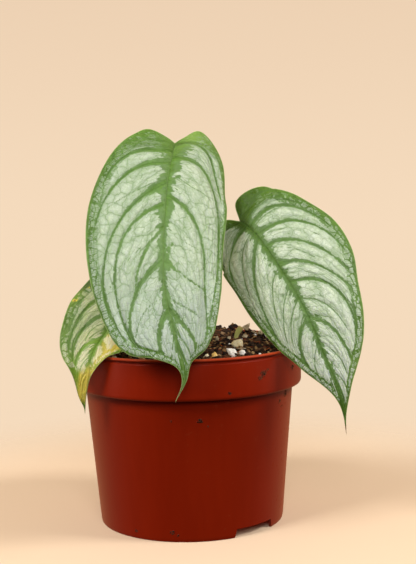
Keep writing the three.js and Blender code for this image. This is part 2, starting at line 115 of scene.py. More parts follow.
# Everything but the midrib lies on the flat leaf: x is the distance from the midrib, y the distance along it.
# shore and flare are the width of the green along the midrib and what is added round the stalk. band is the
# width along a side vein: the least, what is added at its foot, and over which run.
# A half has its fold at the midrib in degrees, its curl in degrees per millimetre and its outline. Shares of
# the margin run from 0 at the stalk to 1 at the tip: fringe is the width of the zone of small cells, moss is
# how green that zone is, loops_from is where the side veins begin to join, and lobe is where the lobe ends.
# A vein is [foot on the midrib, turning point x, y, end as a share of the margin, weight].
# A line is a thin vein, [start x, y, turning point x, y, end x, y], and a seventh number is the half-width of
# the green at its start.
LEAVES = {
    "front": {
        "midrib": [(-4.6, -12, 198.3), (-8.8, -34, 176.7), (-11.1, -58, 140.3), (-10.5, -64, 126.4),
                   (-5.8, -70, 104.6), (-2.2, -72, 86.4), (-6.9, -73, 74.9)],
        "face": (0, -1, 0),
        "shore": 3.5,
        "flare": 4.2,
        "band": (-0.15, 2.1, 16),
        "roll": 10,
        "lobe_lift": 0,
        "rows": 250,
        "columns": 66,
        "halves": [
            {"side": -1, "fold": 4, "curl": -0.45,
             "outline": [(0, 0), (5, -2.3), (15, -3.9), (22.7, 4.6), (31.8, 25.3), (37.2, 48), (36.6, 73),
                         (32.8, 91.5), (25.5, 113), (12.3, 119.1), (3.4, 126.3), (0.8, 135), (0, 144.4)],
             "fringe": [(0, 5), (0.3, 7), (0.6, 7), (0.75, 5), (0.88, 2.5), (1, 0.6)],
             "loops_from": 0.62, "lobe": 0.58,
             "moss": [(0, 0.5), (0.2, 0.4), (0.3, 0.22), (0.58, 0.15), (0.65, 0.05), (1, 0)],
             "veins": [[2.5, 26, 2, 0.3, 0.35], [7.5, 42, 15.5, 0.6, 1.2], [15.1, 43, 34, 0.65, 1.25],
                       [29.8, 38.7, 60.3, 0.76, 1.25], [43, 33.5, 61, 0.8, 0.55],
                       [73.5, 31.3, 104, 0.83, 0.7], [99.5, 10, 106.5, 0.865, 0.8],
                       [112, 8, 124, 0.91, 0.4], [125, 4, 131, 0.955, 0.3]],
             "lines": [[0, 56.3, 12.6, 73.2, 14, 90, 1.2], [0, 93, 13, 94.5, 18.4, 108.4],
                       [13.7, 71.8, 20, 79, 26, 87], [0, 27, 14, 37, 30, 51.4], [0, 62, 8, 66, 13.7, 71.8]]},
            {"side": 1, "fold": 4, "curl": -1.05,
             "outline": [(0, 0), (3.9, -5.5), (12, -14.9), (22.9, -8.8), (31.1, 4.2), (34, 24), (33.2, 52),
                         (30.7, 81.2), (26.2, 98.7), (14.3, 120.5), (3.8, 126.1), (1.0, 134), (0, 144.4)],
             "fringe": [(0, 8), (0.25, 4), (0.437, 2.4), (0.6, 3.6), (0.8, 3.6), (1, 1)],
             "loops_from": 0.5, "lobe": 0.3,
             "moss": [(0, 0.5), (0.3, 0.3), (0.5, 0.1), (1, 0)],
             "veins": [[3.5, 22, -23, 0.437, 0.9], [12, 36, -8, 0.7, 1], [37.5, 33, 49, 0.85, 0.9],
                       [98.8, 14.6, 120, 0.91, 0.6], [109, 8, 122, 0.93, 0.4], [121, 5, 131, 0.96, 0.3]],
             "lines": [[0, 22, 8, 28, 16, 30], [15, 29.5, 20, 30, 24, 34], [0, 53, 6, 66.5, 28.5, 67.8],
                       [0.5, 74, 9, 82, 19, 91, 0.9], [0, 94, 8, 99.5, 13.5, 106],
                       [0, 91, 4.5, 97, 12, 103]]},
        ],
    },
    "right": {
        "midrib": [(28.1, -8, 157.4), (34.8, -16, 151.8), (46.3, -31, 134.8), (57.7, -43, 114.1),
                   (66.4, -49, 91.6), (73.5, -51, 73.5), (76.6, -50, 52.2)],
        "face": (-0.05, -1, 0.25),
        "shore": 1.4,
        "flare": 1.6,
        "band": (-0.1, 1.2, 15),
        "roll": 0,
        "lobe_lift": 0.012,
        "rows": 240,
        "columns": 64,
        "halves": [
            {"side": -1, "fold": -8, "curl": -1.35,
             "outline": [(0, 0), (4, -7), (12, -11.5), (21, -8), (27, 2), (29, 17), (28.4, 32), (27, 53),
                         (22.3, 75.4), (14.9, 87.5), (7.5, 100.4), (1.9, 112.9), (0.4, 120), (0, 129.9)],
             "fringe": [(0, 6), (0.4, 4.2), (0.7, 3.6), (0.9, 2.5), (1, 1)],
             "loops_from": 0.5, "lobe": 0.22,
             "moss": [(0, 0.5), (0.4, 0.2), (0.6, 0.05), (1, 0)],
             "veins": [[1.5, 18, -10, 0.2, 0.4], [6.5, 30, -3, 0.55, 1], [11.5, 22, 14, 0.6, 0.35],
                       [16.5, 26, 38, 0.7, 0.9], [38, 16, 44, 0.715, 0.35], [49, 17, 60, 0.735, 0.5],
                       [57.5, 15, 67, 0.765, 0.4], [67, 16, 78, 0.83, 0.6], [81.5, 11, 92, 0.87, 0.45],
                       [97, 6, 106, 0.93, 0.4]]},
            {"side": 1, "fold": 5, "curl": -0.5,
             "outline": [(0, 0), (6, -9.5), (14.8, -9.7), (22.5, -5.2), (26.1, 4.6), (31.2, 12.6), (37, 28),
                         (36.4, 47.7), (30.1, 63.5), (25.1, 78.4), (18, 93.2), (6.2, 107.2), (1.6, 117.8),
                         (0, 129.9)],
             "fringe": [(0, 9), (0.3, 8), (0.5, 6), (0.7, 4.6), (1, 1)],
             "loops_from": 0.5, "lobe": 0.44,
             "moss": [(0, 0.6), (0.3, 0.5), (0.5, 0.3), (0.7, 0.1), (1, 0)],
             "veins": [[2, 17, -6, 0.2, 0.5], [8, 31, 1, 0.47, 0.9], [14.5, 34, 14, 0.53, 1],
                       [23.5, 22, 24, 0.57, 0.9], [35.5, 19, 41, 0.62, 0.6], [48, 28, 53, 0.76, 0.8],
                       [58, 18, 64, 0.785, 0.4], [68, 14, 76, 0.82, 0.6], [82.5, 11, 90, 0.89, 0.45],
                       [97, 7, 105, 0.94, 0.4]],
             "lines": [[1, 10, 12, 8, 26, 12.6], [0, 16, 14, 18.5, 27, 34], [0, 25.4, 10, 29, 17.5, 43]]},
        ],
    },
    "left": {
        "midrib": [(-26.8, -16, 125.9), (-33.8, -25, 114.6), (-41.1, -34, 104.2), (-46.8, -41, 96.2),
                   (-49.9, -45.5, 86.6), (-51.6, -44, 75.9), (-52.2, -41, 64.3)],
        "face": (-0.3, -1, 0.4),
        "shore": 1.2,
        "flare": 1.6,
        "band": (0.15, 0.85, 30),
        "roll": 0,
        "lobe_lift": 0,
        "rows": 190,
        "columns": 52,
        "halves": [
            {"side": -1, "fold": 4, "curl": -0.5,
             "outline": [(0, 0), (4, -6), (12, -9.5), (20.5, -5.5), (25.6, 4.5), (27.6, 17), (25.5, 28.5),
                         (21.4, 40.9), (15.7, 49.1), (7.1, 59.2), (3, 69.7), (0.6, 74.5), (0, 77.9)],
             "fringe": [(0, 11), (0.5, 8), (0.8, 5), (1, 1)],
             "loops_from": 0.85, "lobe": 0.5,
             "moss": [(0, 0.72), (0.5, 0.62), (0.8, 0.4), (1, 0.4)],
             "veins": [[1.5, 18, -8, 0.2, 0.5], [7, 29, 12, 0.8, 1], [20.1, 19.5, 25.9, 0.86, 1],
                       [37.6, 11.7, 45.2, 0.9, 0.8], [47, 7, 53, 0.95, 0.4]],
             "lines": [[13, 17, 18.5, 25, 16.5, 34], [3, 21, 18, 21, 15.5, 38], [0, 26, 9, 30, 6.3, 41],
                       [0, 29.5, 3.6, 32, 5.1, 39]]},
            {"side": 1, "fold": 11, "curl": -0.5,
             "outline": [(0, 0), (3.5, -6), (11, -9.5), (19, -6), (24, 4), (24.5, 17), (20, 31), (14.1, 41.5),
                         (7.3, 49.2), (2.5, 56.9), (1, 65.9), (0, 77.9)],
             "fringe": [(0, 6), (0.5, 4.5), (0.8, 3), (1, 1)],
             "loops_from": 0.45, "lobe": 0.22,
             "moss": [(0, 0.5), (0.6, 0.3), (1, 0.2)],
             "veins": [[1.5, 18, -8, 0.2, 0.5], [6, 22, 2, 0.45, 0.8], [14, 22, 14, 0.6, 1],
                       [22, 18, 24, 0.68, 0.4], [28, 16, 31, 0.74, 0.9], [38, 12, 42, 0.83, 0.7],
                       [50, 6, 54, 0.9, 0.4]]},
        ],
    },
}


def mix(a, b, t):
    return a + (b - a) * t


def smoothstep(low, high, value):
    t = np.clip((value - low) / (high - low), 0, 1)
    return t * t * (3 - 2 * t)


def bump(value, centre, width):
    return np.exp(-(((value - centre) / width) ** 2))


def unit(vectors):
    return vectors / np.linalg.norm(vectors, axis=-1, keepdims=True)


def bow(start, turn, end, t):
    """A curve from start to end that bends towards the turning point."""
    return start * (1 - t) ** 2 + 2 * t * (1 - t) * turn + t * t * end


class Path:
    """A centripetal Catmull-Rom curve through its points, read by the distance along it."""

    def __init__(self, points):
        p = np.array(points, float)
        p = np.vstack([2 * p[0] - p[1], p, 2 * p[-1] - p[-2]])
        pieces = []
        for a, b, c, d in zip(p, p[1:], p[2:], p[3:]):
            t1 = math.sqrt(np.linalg.norm(b - a))
            t2 = t1 + math.sqrt(np.linalg.norm(c - b))
            t3 = t2 + math.sqrt(np.linalg.norm(d - c))
            t = np.linspace(t1, t2, PATH_STEPS, endpoint=False)[:, None]
            ab = mix(a, b, t / t1)
            bc = mix(b, c, (t - t1) / (t2 - t1))
            cd = mix(c, d, (t - t2) / (t3 - t2))
            pieces.append(mix(mix(ab, bc, t / t2), mix(bc, cd, (t - t1) / (t3 - t1)), (t - t1) / (t2 - t1)))
        self.points = np.vstack([*pieces, p[-2:-1]])
        steps_taken = np.linalg.norm(np.diff(self.points, axis=0), axis=1)
        self.arc = np.r_[0, np.cumsum(steps_taken)]
        self.length = self.arc[-1]
        self.tangents = unit(np.gradient(self.points, self.arc, axis=0))

    def _read(self, table, s):
        return np.stack([np.interp(s, self.arc, column) for column in table.T], -1)

    def at(self, s):
        return self._read(self.points, s)

    def tangent(self, s):
        return unit(self._read(self.tangents, s))


def distance_to(points, line):
    """Distance of flat points to a line of short segments, and how far along the line they are nearest."""
    arc = np.r_[0, np.cumsum(np.linalg.norm(np.diff(line, axis=0), axis=1))]
    nearest = np.full(len(points), 1e9)
    place = np.zeros(len(points))
    for start, end, begun in zip(line, line[1:], arc):
        step = end - start
        length = np.hypot(*step)
        t = np.clip(((points - start) @ step) / max(length * length, 1e-12), 0, 1)
        gap = np.linalg.norm(points - start - t[:, None] * step, axis=1)
        closer = gap < nearest
        nearest[closer] = gap[closer]
        place[closer] = (begun + t * length)[closer]
    return nearest, place


# Meshes and pieces

def make_mesh(name, points, faces, smooth=True):
    mesh = bpy.data.meshes.new(name)
    mesh.from_pydata((np.asarray(points, float) * MM).tolist(), [], faces)
    mesh.validate()
    mesh.polygons.foreach_set("use_smooth", [smooth] * len(mesh.polygons))
    return mesh


def make_object(name, mesh, *materials):
    obj = bpy.data.objects.new(name, mesh)
    bpy.context.scene.collection.objects.link(obj)
    for material in materials:
        mesh.materials.append(material)
    return obj


def store(mesh, name, values):
    kind = "FLOAT_VECTOR" if np.ndim(values) == 2 else "FLOAT"
    attribute = mesh.attributes.new(name, kind, "POINT")
    key = "vector" if kind == "FLOAT_VECTOR" else "value"
    attribute.data.foreach_set(key, np.asarray(values, np.float32).ravel())


def evaluated(obj):
    """The object's mesh with its modifiers applied, on the same object with no modifier left."""
    graph = bpy.context.evaluated_depsgraph_get()
    finished = obj.evaluated_get(graph)
    mesh = bpy.data.meshes.new_from_object(finished, preserve_all_data_layers=True, depsgraph=graph)
    obj.modifiers.clear()
    old, obj.data = obj.data, mesh
    bpy.data.meshes.remove(old)
    mesh.name = obj.name
    return mesh


# Materials

def srgb(red, green, blue):
    """A linear colour from the 0 to 255 values that a screen shows."""
    values = [v / 255 for v in (red, green, blue)]
    return tuple(v / 12.92 if v <= 0.04045 else ((v + 0.055) / 1.055) ** 2.4 for v in values) + (1.0,)


class Wire:
    """A number in a material. Arithmetic on it adds Math nodes."""

    def __init__(self, paint, socket):
        self.paint = paint
        self.socket = socket

    def __add__(self, other):
        return self.paint.math("ADD", self, other)

    def __radd__(self, other):
        return self.paint.math("ADD", other, self)

    def __sub__(self, other):
        return self.paint.math("SUBTRACT", self, other)

    def __rsub__(self, other):
        return self.paint.math("SUBTRACT", other, self)

    def __mul__(self, other):
        return self.paint.math("MULTIPLY", self, other)

    def __rmul__(self, other):
        return self.paint.math("MULTIPLY", other, self)

    def __truediv__(self, other):
        return self.paint.math("DIVIDE", self, other)

    def __abs__(self):
        return self.paint.math("ABSOLUTE", self)

    def least(self, other):
        return self.paint.math("MINIMUM", self, other)

    def most(self, other):
        return self.paint.math("MAXIMUM", self, other)


class Paint:
    """A node material that is being put together."""

    def __init__(self, name):
        self.material = bpy.data.materials.new(name)
        self.material.use_nodes = True
        self.tree = self.material.node_tree
        self.tree.nodes.clear()

    def node(self, kind, settings=None, inputs=None):
        """A node of the given type with its settings made first, then its sockets filled or linked."""
        made = self.tree.nodes.new("ShaderNode" + kind)
        for key, value in (settings or {}).items():
            if key == "stops":
                first, *between, last = value
                ends = list(made.color_ramp.elements)
                for element, (place, colour) in zip(ends, (first, last)):
                    element.position, element.color = place, colour
                for place, colour in between:
                    made.color_ramp.elements.new(place).color = colour
            else:
                setattr(made, key, value)
        for key, value in (inputs or {}).items():
            if isinstance(value, Wire):
                value = value.socket
            if isinstance(value, bpy.types.NodeSocket):
                self.tree.links.new(value, made.inputs[key])
            else:
                made.inputs[key].default_value = value
        return made

    def math(self, operation, *values):
        made = self.node("Math", {"operation": operation}, dict(enumerate(values)))
        return Wire(self, made.outputs[0])

    def number(self, name):
        return Wire(self, self.node("Attribute", {"attribute_name": name}).outputs["Fac"])

    def vector(self, name):
        return self.node("Attribute", {"attribute_name": name}).outputs["Vector"]

    def place(self):
        return self.node("TexCoord").outputs["Object"]

    def height(self, vector):
        return Wire(self, self.node("SeparateXYZ", {}, {0: vector}).outputs["Z"])

    def scaled(self, vector, factors):
        made = self.node("VectorMath", {"operation": "MULTIPLY"}, {0: vector, 1: factors})
        return made.outputs[0]

    def shifted(self, vector, other, amount):
        """The vector moved by amount times a colour whose middle is 0.5."""
        centred = self.node("VectorMath", {"operation": "SUBTRACT"}, {0: other, 1: (0.5, 0.5, 0.5)})
        moved = self.node("VectorMath", {"operation": "MULTIPLY_ADD"},
                          {0: centred.outputs[0], 1: (amount, amount, 0), 2: vector})
        return moved.outputs[0]

    def noise(self, vector, scale=1.0, detail=2.0):
        made = self.node("TexNoise", {}, {"Vector": vector, "Scale": scale, "Detail": detail})
        return Wire(self, made.outputs[0])

    def tint_noise(self, vector, scale):
        return self.node("TexNoise", {}, {"Vector": vector, "Scale": scale, "Detail": 1.0}).outputs[1]

    def cells(self, vector, scale, feature="DISTANCE_TO_EDGE"):
        made = self.node("TexVoronoi", {"feature": feature, "voronoi_dimensions": "2D"},
                         {"Vector": vector, "Scale": scale})
        return Wire(self, made.outputs["Distance"])

    def mosaic(self, vector, scale):
        """A number between 0 and 1 that is the same all over each cell of the net that cells() gives."""
        made = self.node("TexVoronoi", {"feature": "F1", "voronoi_dimensions": "2D"},
                         {"Vector": vector, "Scale": scale})
        return Wire(self, self.node("SeparateColor", {}, {0: made.outputs["Color"]}).outputs[0])

    def rungs(self, place):
        """Distance to the nearest of a row of unevenly spaced marks about one unit apart."""
        made = self.node("TexVoronoi", {"feature": "DISTANCE_TO_EDGE", "voronoi_dimensions": "1D"},
                         {"W": place})
        return Wire(self, made.outputs["Distance"])

    def fade(self, value, low, high):
        """0 up to low, 1 from high on, with a soft step between; low above high turns it round."""
        made = self.node("MapRange", {"interpolation_type": "SMOOTHSTEP"},
                         {"Value": value, "From Min": low, "From Max": high})
        return Wire(self, made.outputs[0])

    def blend(self, factor, first, second):
        made = self.node("Mix", {"data_type": "RGBA"}, {0: factor, 6: first, 7: second})
        return made.outputs[2]

    def finish(self, colour, roughness, height, depth, **fixed):
        """The shader: colour and roughness may vary, height goes to a bump of the given depth in metres."""
        normal = self.node("Bump", {}, {"Height": height, "Distance": depth}).outputs[0]
        inputs = {"Base Color": colour, "Roughness": roughness, "Normal": normal}
        inputs.update({key.replace("_", " "): value for key, value in fixed.items()})
        shader = self.node("BsdfPrincipled", {}, inputs)
        self.node("OutputMaterial", {}, {"Surface": shader.outputs[0]})
        return self.material


class Studio(Paint):
    """The world's nodes, put together in the same way."""

    def __init__(self, name):
        world = bpy.data.worlds.new(name)
        bpy.context.scene.world = world
        world.use_nodes = True
        self.tree = world.node_tree
        self.tree.nodes.clear()


# The blades are thin enough to let some light through
GLOW = {"Subsurface_Weight": 0.45, "Subsurface_Radius": (0.8, 1.0, 0.45), "Subsurface_Scale": 0.0015}


def blade_top(name, tones):
    """Upper face of a blade: silver between green veins, with a fine net, green lobes, margin and tip."""
    p = Paint(name)
    flat, streak = p.vector("flat"), p.vector("streak")
    green, shore, core, thin = p.number("green"), p.number("shore"), p.number("core"), p.number("thin")
    edge, rim, tip, lobe = p.number("edge"), p.number("rim"), p.number("tip"), p.number("lobe")
    fringe, moss, age, deep, mid = (p.number(key) for key in ("fringe", "moss", "age", "deep", "mid"))

    feather = p.noise(p.scaled(streak, (0.9, 0.12, 1)), 1, 2) - 0.5
    patches = p.noise(flat, 0.1, 3) - 0.5
    grain = p.noise(flat, 2.2, 2) - 0.5
    warp = p.tint_noise(flat, 0.35)
    warped = p.shifted(flat, warp, 2.2)
    strands = p.shifted(p.scaled(streak, (0.6, 0.2, 1)), warp, 0.7)
    long_cells = p.shifted(p.scaled(streak, (0.42, 0.13, 1)), warp, 0.6)
    finger = (p.mosaic(strands, 1.0) - 0.5) * (1 - 0.5 * p.fade(tip, 0.3, 0.7))
    tooth = p.mosaic(warped, FINE_NET) - 0.5
    net = p.cells(warped, NET)
    panels = p.cells(p.shifted(p.scaled(streak, (0.18, 0.075, 1)), warp, 0.45), 1.0)
    long_net = p.cells(long_cells, 1.0)
    fine_net = p.cells(warped, FINE_NET)

    # Silver ends in fingers at the midrib and in small teeth along the side veins
    near = p.fade(shore, 9, 1)
    ragged = 0.6 * tooth + (0.4 + 0.8 * near) * finger + (0.8 + 1.2 * near) * feather + 0.35 * grain
    silver = p.fade(green + ragged - tones["greenness"], 0.0, 0.55)
    silver = silver * p.fade(shore + 4.2 * finger + 3.0 * feather + 0.8 * tooth, -0.3, 0.5)
    in_lobe = p.fade(tooth + 3.0 * feather + 1.6 * patches, -0.1, 0.3) * tones["lobe_silver"]
    silver = silver * (1 - lobe * (1 - in_lobe))

    # Beside the margin lie small cells with broad green borders, some of them green all over
    zone = p.fade(fringe + 0.9 * tooth + 1.2 * patches, -0.3, 0.6)
    plot_luck = p.mosaic(warped, NET) + 0.35 * feather + 0.4 * tooth
    plots = p.fade(net + 0.02 * tooth, 0.02 + 0.14 * moss, 0.07 + 0.17 * moss)
    plots = plots * p.fade(p.rungs(rim / 5.0), 0.04, 0.09) * p.fade(plot_luck - moss, -0.12, 0.1)
    silver = silver * (1 - zone * (1 - plots))
    margin = edge - tones["margin"] * (1 - 0.6 * p.fade(tip, 0.45, 0.75))
    silver = silver * p.fade(margin + 1.0 * feather + 0.6 * tooth, 0.0, 0.6)
    silver = silver * (1 - 0.85 * (1 - p.fade(thin + 0.25 * tooth + 0.3 * grain, 0.14, 0.52)))
    # No silver where the green is deepest, painted shade included.
    silver = silver * p.fade(deep, 0.95, 0.6)

    # The small veins form a wider net further out than beside the midrib
    outer = p.fade(shore, 9, 20) * tones["cross"]
    wide_net = p.cells(warped, WIDE_NET)
    veins = (1 - p.fade(net, 0.01, 0.055)) * (1 - outer)
    veins = veins + (1 - p.fade(wide_net, 0.008, 0.048)) * outer
    long_veins = (1 - p.fade(long_net, 0.01, 0.08)) * p.fade(shore, 22, 6)
    fine_veins = 1 - p.fade(fine_net, 0.02, 0.13)
    panel_veins = 1 - p.fade(panels + 0.006 * tooth, 0.004, 0.03)
    silver = silver * (1 - (0.25 + 0.3 * outer) * veins) * (1 - 0.5 * long_veins)
    silver = silver * (1 - (0.55 - 0.45 * outer) * panel_veins) * (1 - 0.16 * fine_veins)
    silver = silver * p.fade(tip + 0.12 * feather, tones["bare"], tones["bare"] - 0.06)

    # The green is deepest at the lobes and, as painted shade, where the old leaf lies in shadow; it is
    # lighter on the midrib and greyer where it gives way to silver
    dappled = p.fade(patches + 0.5 * feather + 0.3 * tooth, -0.25, 0.25)
    leaf_green = p.blend(dappled, tones["green"], tones["green_2"])
    # Lighter green; on the old leaf partly painted light.
    leaf_green = p.blend(p.number("fresh"), leaf_green, tones["fresh"])
    # Deepest green; on the old leaf partly painted shade.
    leaf_green = p.blend(deep, leaf_green, tones["deep"])
    veil = p.fade(green + 1.2 * finger + 1.0 * feather, -1.6, 0.6)
    leaf_green = p.blend(veil * p.fade(edge, 2.0, 6.0) * (1 - lobe) * 0.45, leaf_green, tones["veil"])
    leaf_green = p.blend((1 - p.fade(core, 0.1, 0.4)) * 0.5, leaf_green, tones["vein"])
    leaf_green = p.blend((1 - p.fade(mid, 0.15, 0.4)) * 0.5, leaf_green, tones["midrib"])

    # Each panel of the silver is greyer towards the veins round it and along the main veins: partly a grey
    # halo of the leaf's own, partly painted shade of its quilted relief
    clouds = p.fade(patches + 0.4 * tooth + 0.8 * grain, -0.3, 0.3)
    sheen = p.blend(clouds, tones["silver"], tones["silver_2"])
    halo_and_painted_shade = p.fade(panels + 0.03 * tooth, 0.26, 0.0) * (1 - outer) + p.fade(wide_net, 0.26, 0.0) * outer
    halo_and_painted_shade = halo_and_painted_shade + 0.9 * p.fade(core + 1.2 * feather, 3.6, 0.4)
    sheen = p.blend(0.38 * halo_and_painted_shade.least(1.0), sheen, tones["veil"])
    # Towards the tip the silver takes a tone of its own; on the right leaf and the old leaf it is lighter,
    # painted light for their lower parts.
    sheen = p.blend(p.fade(tip, 0.45, 0.85), sheen, tones["tipward_silver_and_painted_light"])
    sheen = p.blend(zone * (0.2 + 0.4 * moss), sheen, tones["veil"])
    # The lobes and the deepest green grey the silver, painted shade among them.
    sheen = p.blend(lobe * 0.55, p.blend(deep * 0.5, sheen, tones["veil"]), tones["veil"])
    # Painted light: on the old leaf the silver of its better-lit part turns pale yellow.
    sheen = p.blend(p.number("fresh") * tones["painted_light_share"], sheen, tones["pale_yellow"])
    colour = p.blend(silver, leaf_green, sheen)

    # Age, rust, the rim and the dried tip
    old = p.fade(age + (0.7 - 0.55 * p.fade(tip, 0.6, 0.78)) * feather + 0.15 * tooth, 0.15, 0.95)
    yellow = p.blend(silver, tones["yellow"], tones["pale_yellow"])
    colour = p.blend(old, colour, yellow)
    rust = p.number("rust") + 0.5 * tooth
    colour = p.blend(p.fade(rust, 0.35, 0.7), colour, tones["yellow"])
    colour = p.blend(p.fade(rust + 0.6 * grain, 0.85, 1.0), colour, tones["brown"])
    colour = p.blend((1 - p.fade(edge, 0.1, 0.42)) * 0.6, colour, tones["rim"])
    colour = p.blend(p.fade(tip + 0.01 * feather, 0.95, 0.97) * tones["dry_tip"], colour, tones["brown"])
    height = 0.3 * silver + 0.3 * fine_net + 0.7 * net + 0.5 * long_net + 0.3 * grain
    height = height + 4.0 * panels.least(0.3)
    roughness = 0.48 + 0.12 * patches - 0.06 * silver
    return p.finish(colour, roughness, height, 0.0003, Specular_IOR_Level=0.3, **GLOW)


def blade_under(name, tones):
    """Lower face of a blade: matt pale green, with the raised veins a little brighter."""
    p = Paint(name)
    flat = p.vector("flat")
    core, thin, edge, age, mid = (p.number(key) for key in ("core", "thin", "edge", "age", "mid"))
    patches = p.noise(flat, 0.12, 3) - 0.5
    warped = p.shifted(flat, p.tint_noise(flat, 0.35), 2.2)
    net = p.cells(warped, 0.27)
    fine_net = p.cells(warped, 0.8)
    colour = p.blend(p.fade(patches, -0.25, 0.25), tones["under"], tones["under_2"])
    colour = p.blend(0.45 * (1 - p.fade(net, 0.01, 0.06)) + 0.25 * (1 - p.fade(fine_net, 0.0, 0.1)),
                     colour, tones["under_net"])
    colour = p.blend(1 - p.fade(core, 0.3, 0.75), colour, tones["under_vein"])
    colour = p.blend(1 - p.fade(mid, 0.9, 1.5), colour, tones["under_midrib"])
    colour = p.blend(0.6 * (1 - p.fade(thin, 0.1, 0.4)), colour, tones["under_vein"])
    colour = p.blend(p.fade(age, 0.3, 0.9), colour, tones["yellow"])
    colour = p.blend((1 - p.fade(edge, 0.1, 0.5)) * 0.6, colour, tones["rim"])
    height = fine_net + net * 0.7
    return p.finish(colour, 0.55 + 0.1 * patches, height, 0.0001, Specular_IOR_Level=0.35, **GLOW)


LEAF_TONES = {
    "silver": srgb(199, 211, 190), "silver_2": srgb(176, 192, 164), "tipward_silver_and_painted_light": srgb(192, 206, 191),
    "green": srgb(84, 120, 40), "green_2": srgb(100, 138, 56), "deep": srgb(48, 80, 16),
    "fresh": srgb(132, 164, 76), "veil": srgb(116, 144, 96), "vein": srgb(72, 110, 36),
    "midrib": srgb(122, 152, 78), "rim": srgb(176, 198, 134), "yellow": srgb(208, 182, 62),
    "pale_yellow": srgb(230, 222, 142), "brown": srgb(120, 84, 48),
    "under": srgb(122, 150, 92), "under_2": srgb(138, 164, 108), "under_net": srgb(96, 128, 66),
    "under_vein": srgb(156, 180, 112), "under_midrib": srgb(136, 180, 72),
    "greenness": 0.3,      # how far green takes over from silver beside the veins
    "cross": 1.0,          # share of the wider net in the outer part of the blade
    "lobe_silver": 0.75,   # silver that is left on the lobe
    "margin": 1.1,         # width of the green margin in millimetres
    "bare": 0.96,          # place along the midrib past which no silver is left
    "dry_tip": 0.3,
    # The share below paints light as pale yellow on the silver.
    "painted_light_share": 0.0,         # share of yellow in the silver of the lightest part
}
TONES = {
    "front": LEAF_TONES,
    "right": {
        # The right leaf's silver tones are lighter than the front leaf's: painted light for light this leaf
        # gets less of.
        **LEAF_TONES, "silver": srgb(214, 225, 204), "silver_2": srgb(188, 202, 174),
        "tipward_silver_and_painted_light": srgb(220, 230, 214), "green": srgb(78, 112, 32), "green_2": srgb(96, 132, 48),
        "deep": srgb(64, 94, 8), "midrib": srgb(92, 128, 50), "brown": srgb(104, 62, 38),
        "greenness": 0.4, "cross": 0.5, "margin": 1.4, "bare": 0.9, "dry_tip": 1.0,
    },
    "left": {
        # The old leaf's silver towards the tip is near white: painted light on its lower part.
        **LEAF_TONES, "silver": srgb(212, 222, 184), "silver_2": srgb(180, 196, 146),
        "tipward_silver_and_painted_light": srgb(252, 254, 226), "green": srgb(84, 116, 42), "green_2": srgb(116, 146, 66),
        "deep": srgb(46, 76, 20), "fresh": srgb(136, 172, 48), "midrib": srgb(110, 146, 50),
        "yellow": srgb(226, 206, 88), "pale_yellow": srgb(246, 240, 192),
        "greenness": 0.25, "cross": 0.6, "bare": 0.74, "dry_tip": 0.0, "painted_light_share": 0.6,
    },
}


# Dirt that sticks to the pot: angle from the front towards the right, height and size
POT_DIRT = [
    (38, 83.5, 1.5), (36, 81.5, 1.0), (40.5, 85, 0.7), (19, 75.5, 0.8), (62, 83, 1.3), (64, 69, 1.6),
    (57, 66, 1.0), (60, 63, 0.6), (-10, 62, 0.5), (5, 62, 0.9), (9, 59, 0.5), (-36, 4, 0.8), (-12, 5, 0.9),
    (-9, 3.5, 0.6), (118, 60, 1.2), (160, 30, 1.0), (205, 78, 1.1), (250, 45, 0.9), (290, 82, 1.0),
]


def pot_plastic():
    """Terracotta plastic, paler along the lip where a highlight is painted, with a little dust and crumbs of
    dirt.
    """
    p = Paint("pot_plastic")
    place = p.place()
    broad = p.noise(p.scaled(place, (30, 30, 9)), 1, 2) - 0.5
    flow = p.noise(p.scaled(place, (260, 260, 30)), 1, 2) - 0.5
    dust = p.fade(p.noise(place, 420, 3) + 0.3 * broad, 0.66, 0.78)
    jagged = p.shifted(place, p.tint_noise(place, 900), 0.0035)
    dirt = None
    for degrees, height, size in POT_DIRT:
        angle = math.radians(degrees)
        radius = BAND_RADIUS if height > POT_HEIGHT - BAND_HEIGHT else FOOT_RADIUS + height * POT_SLOPE
        spot = (radius * math.sin(angle) * MM, -radius * math.cos(angle) * MM, height * MM)
        gap = Wire(p, p.node("VectorMath", {"operation": "DISTANCE"}, {0: jagged, 1: spot}).outputs["Value"])
        mark = p.fade(gap, 1.4 * size * MM, 0.9 * size * MM)
        dirt = mark if dirt is None else dirt.most(mark)
    crumbs = dirt * p.fade(p.noise(place, 1300, 2), 0.38, 0.48)
    colour = p.blend(p.fade(broad + 0.4 * flow, -0.3, 0.3), srgb(132, 27, 3), srgb(141, 31, 4))
    colour = p.blend(dust * 0.1, colour, srgb(160, 84, 54))
    # Painted highlight: the top of the lip is made paler, as if it caught the light.
    painted_lip_highlight = p.fade(p.height(place), (POT_HEIGHT - 1.2) * MM, (POT_HEIGHT - 0.4) * MM)
    colour = p.blend(painted_lip_highlight * 0.4, colour, srgb(216, 88, 44))
    colour = p.blend(dirt * 0.25, colour, srgb(110, 60, 40))
    earth = p.blend(p.fade(p.noise(place, 1500), 0.45, 0.68), srgb(14, 6, 4), srgb(96, 62, 42))
    colour = p.blend(crumbs * 0.95, colour, earth)
    height = 0.3 * flow + 0.5 * p.noise(place, 900, 2) + 8 * crumbs
    roughness = 0.36 + 0.1 * broad + 0.2 * dust + 0.4 * crumbs
    return p.finish(colour, roughness, height, 0.00003, Specular_IOR_Level=0.12,
                    Sheen_Weight=0.35, Sheen_Roughness=0.35, Sheen_Tint=(1.0, 0.3, 0.1, 1))


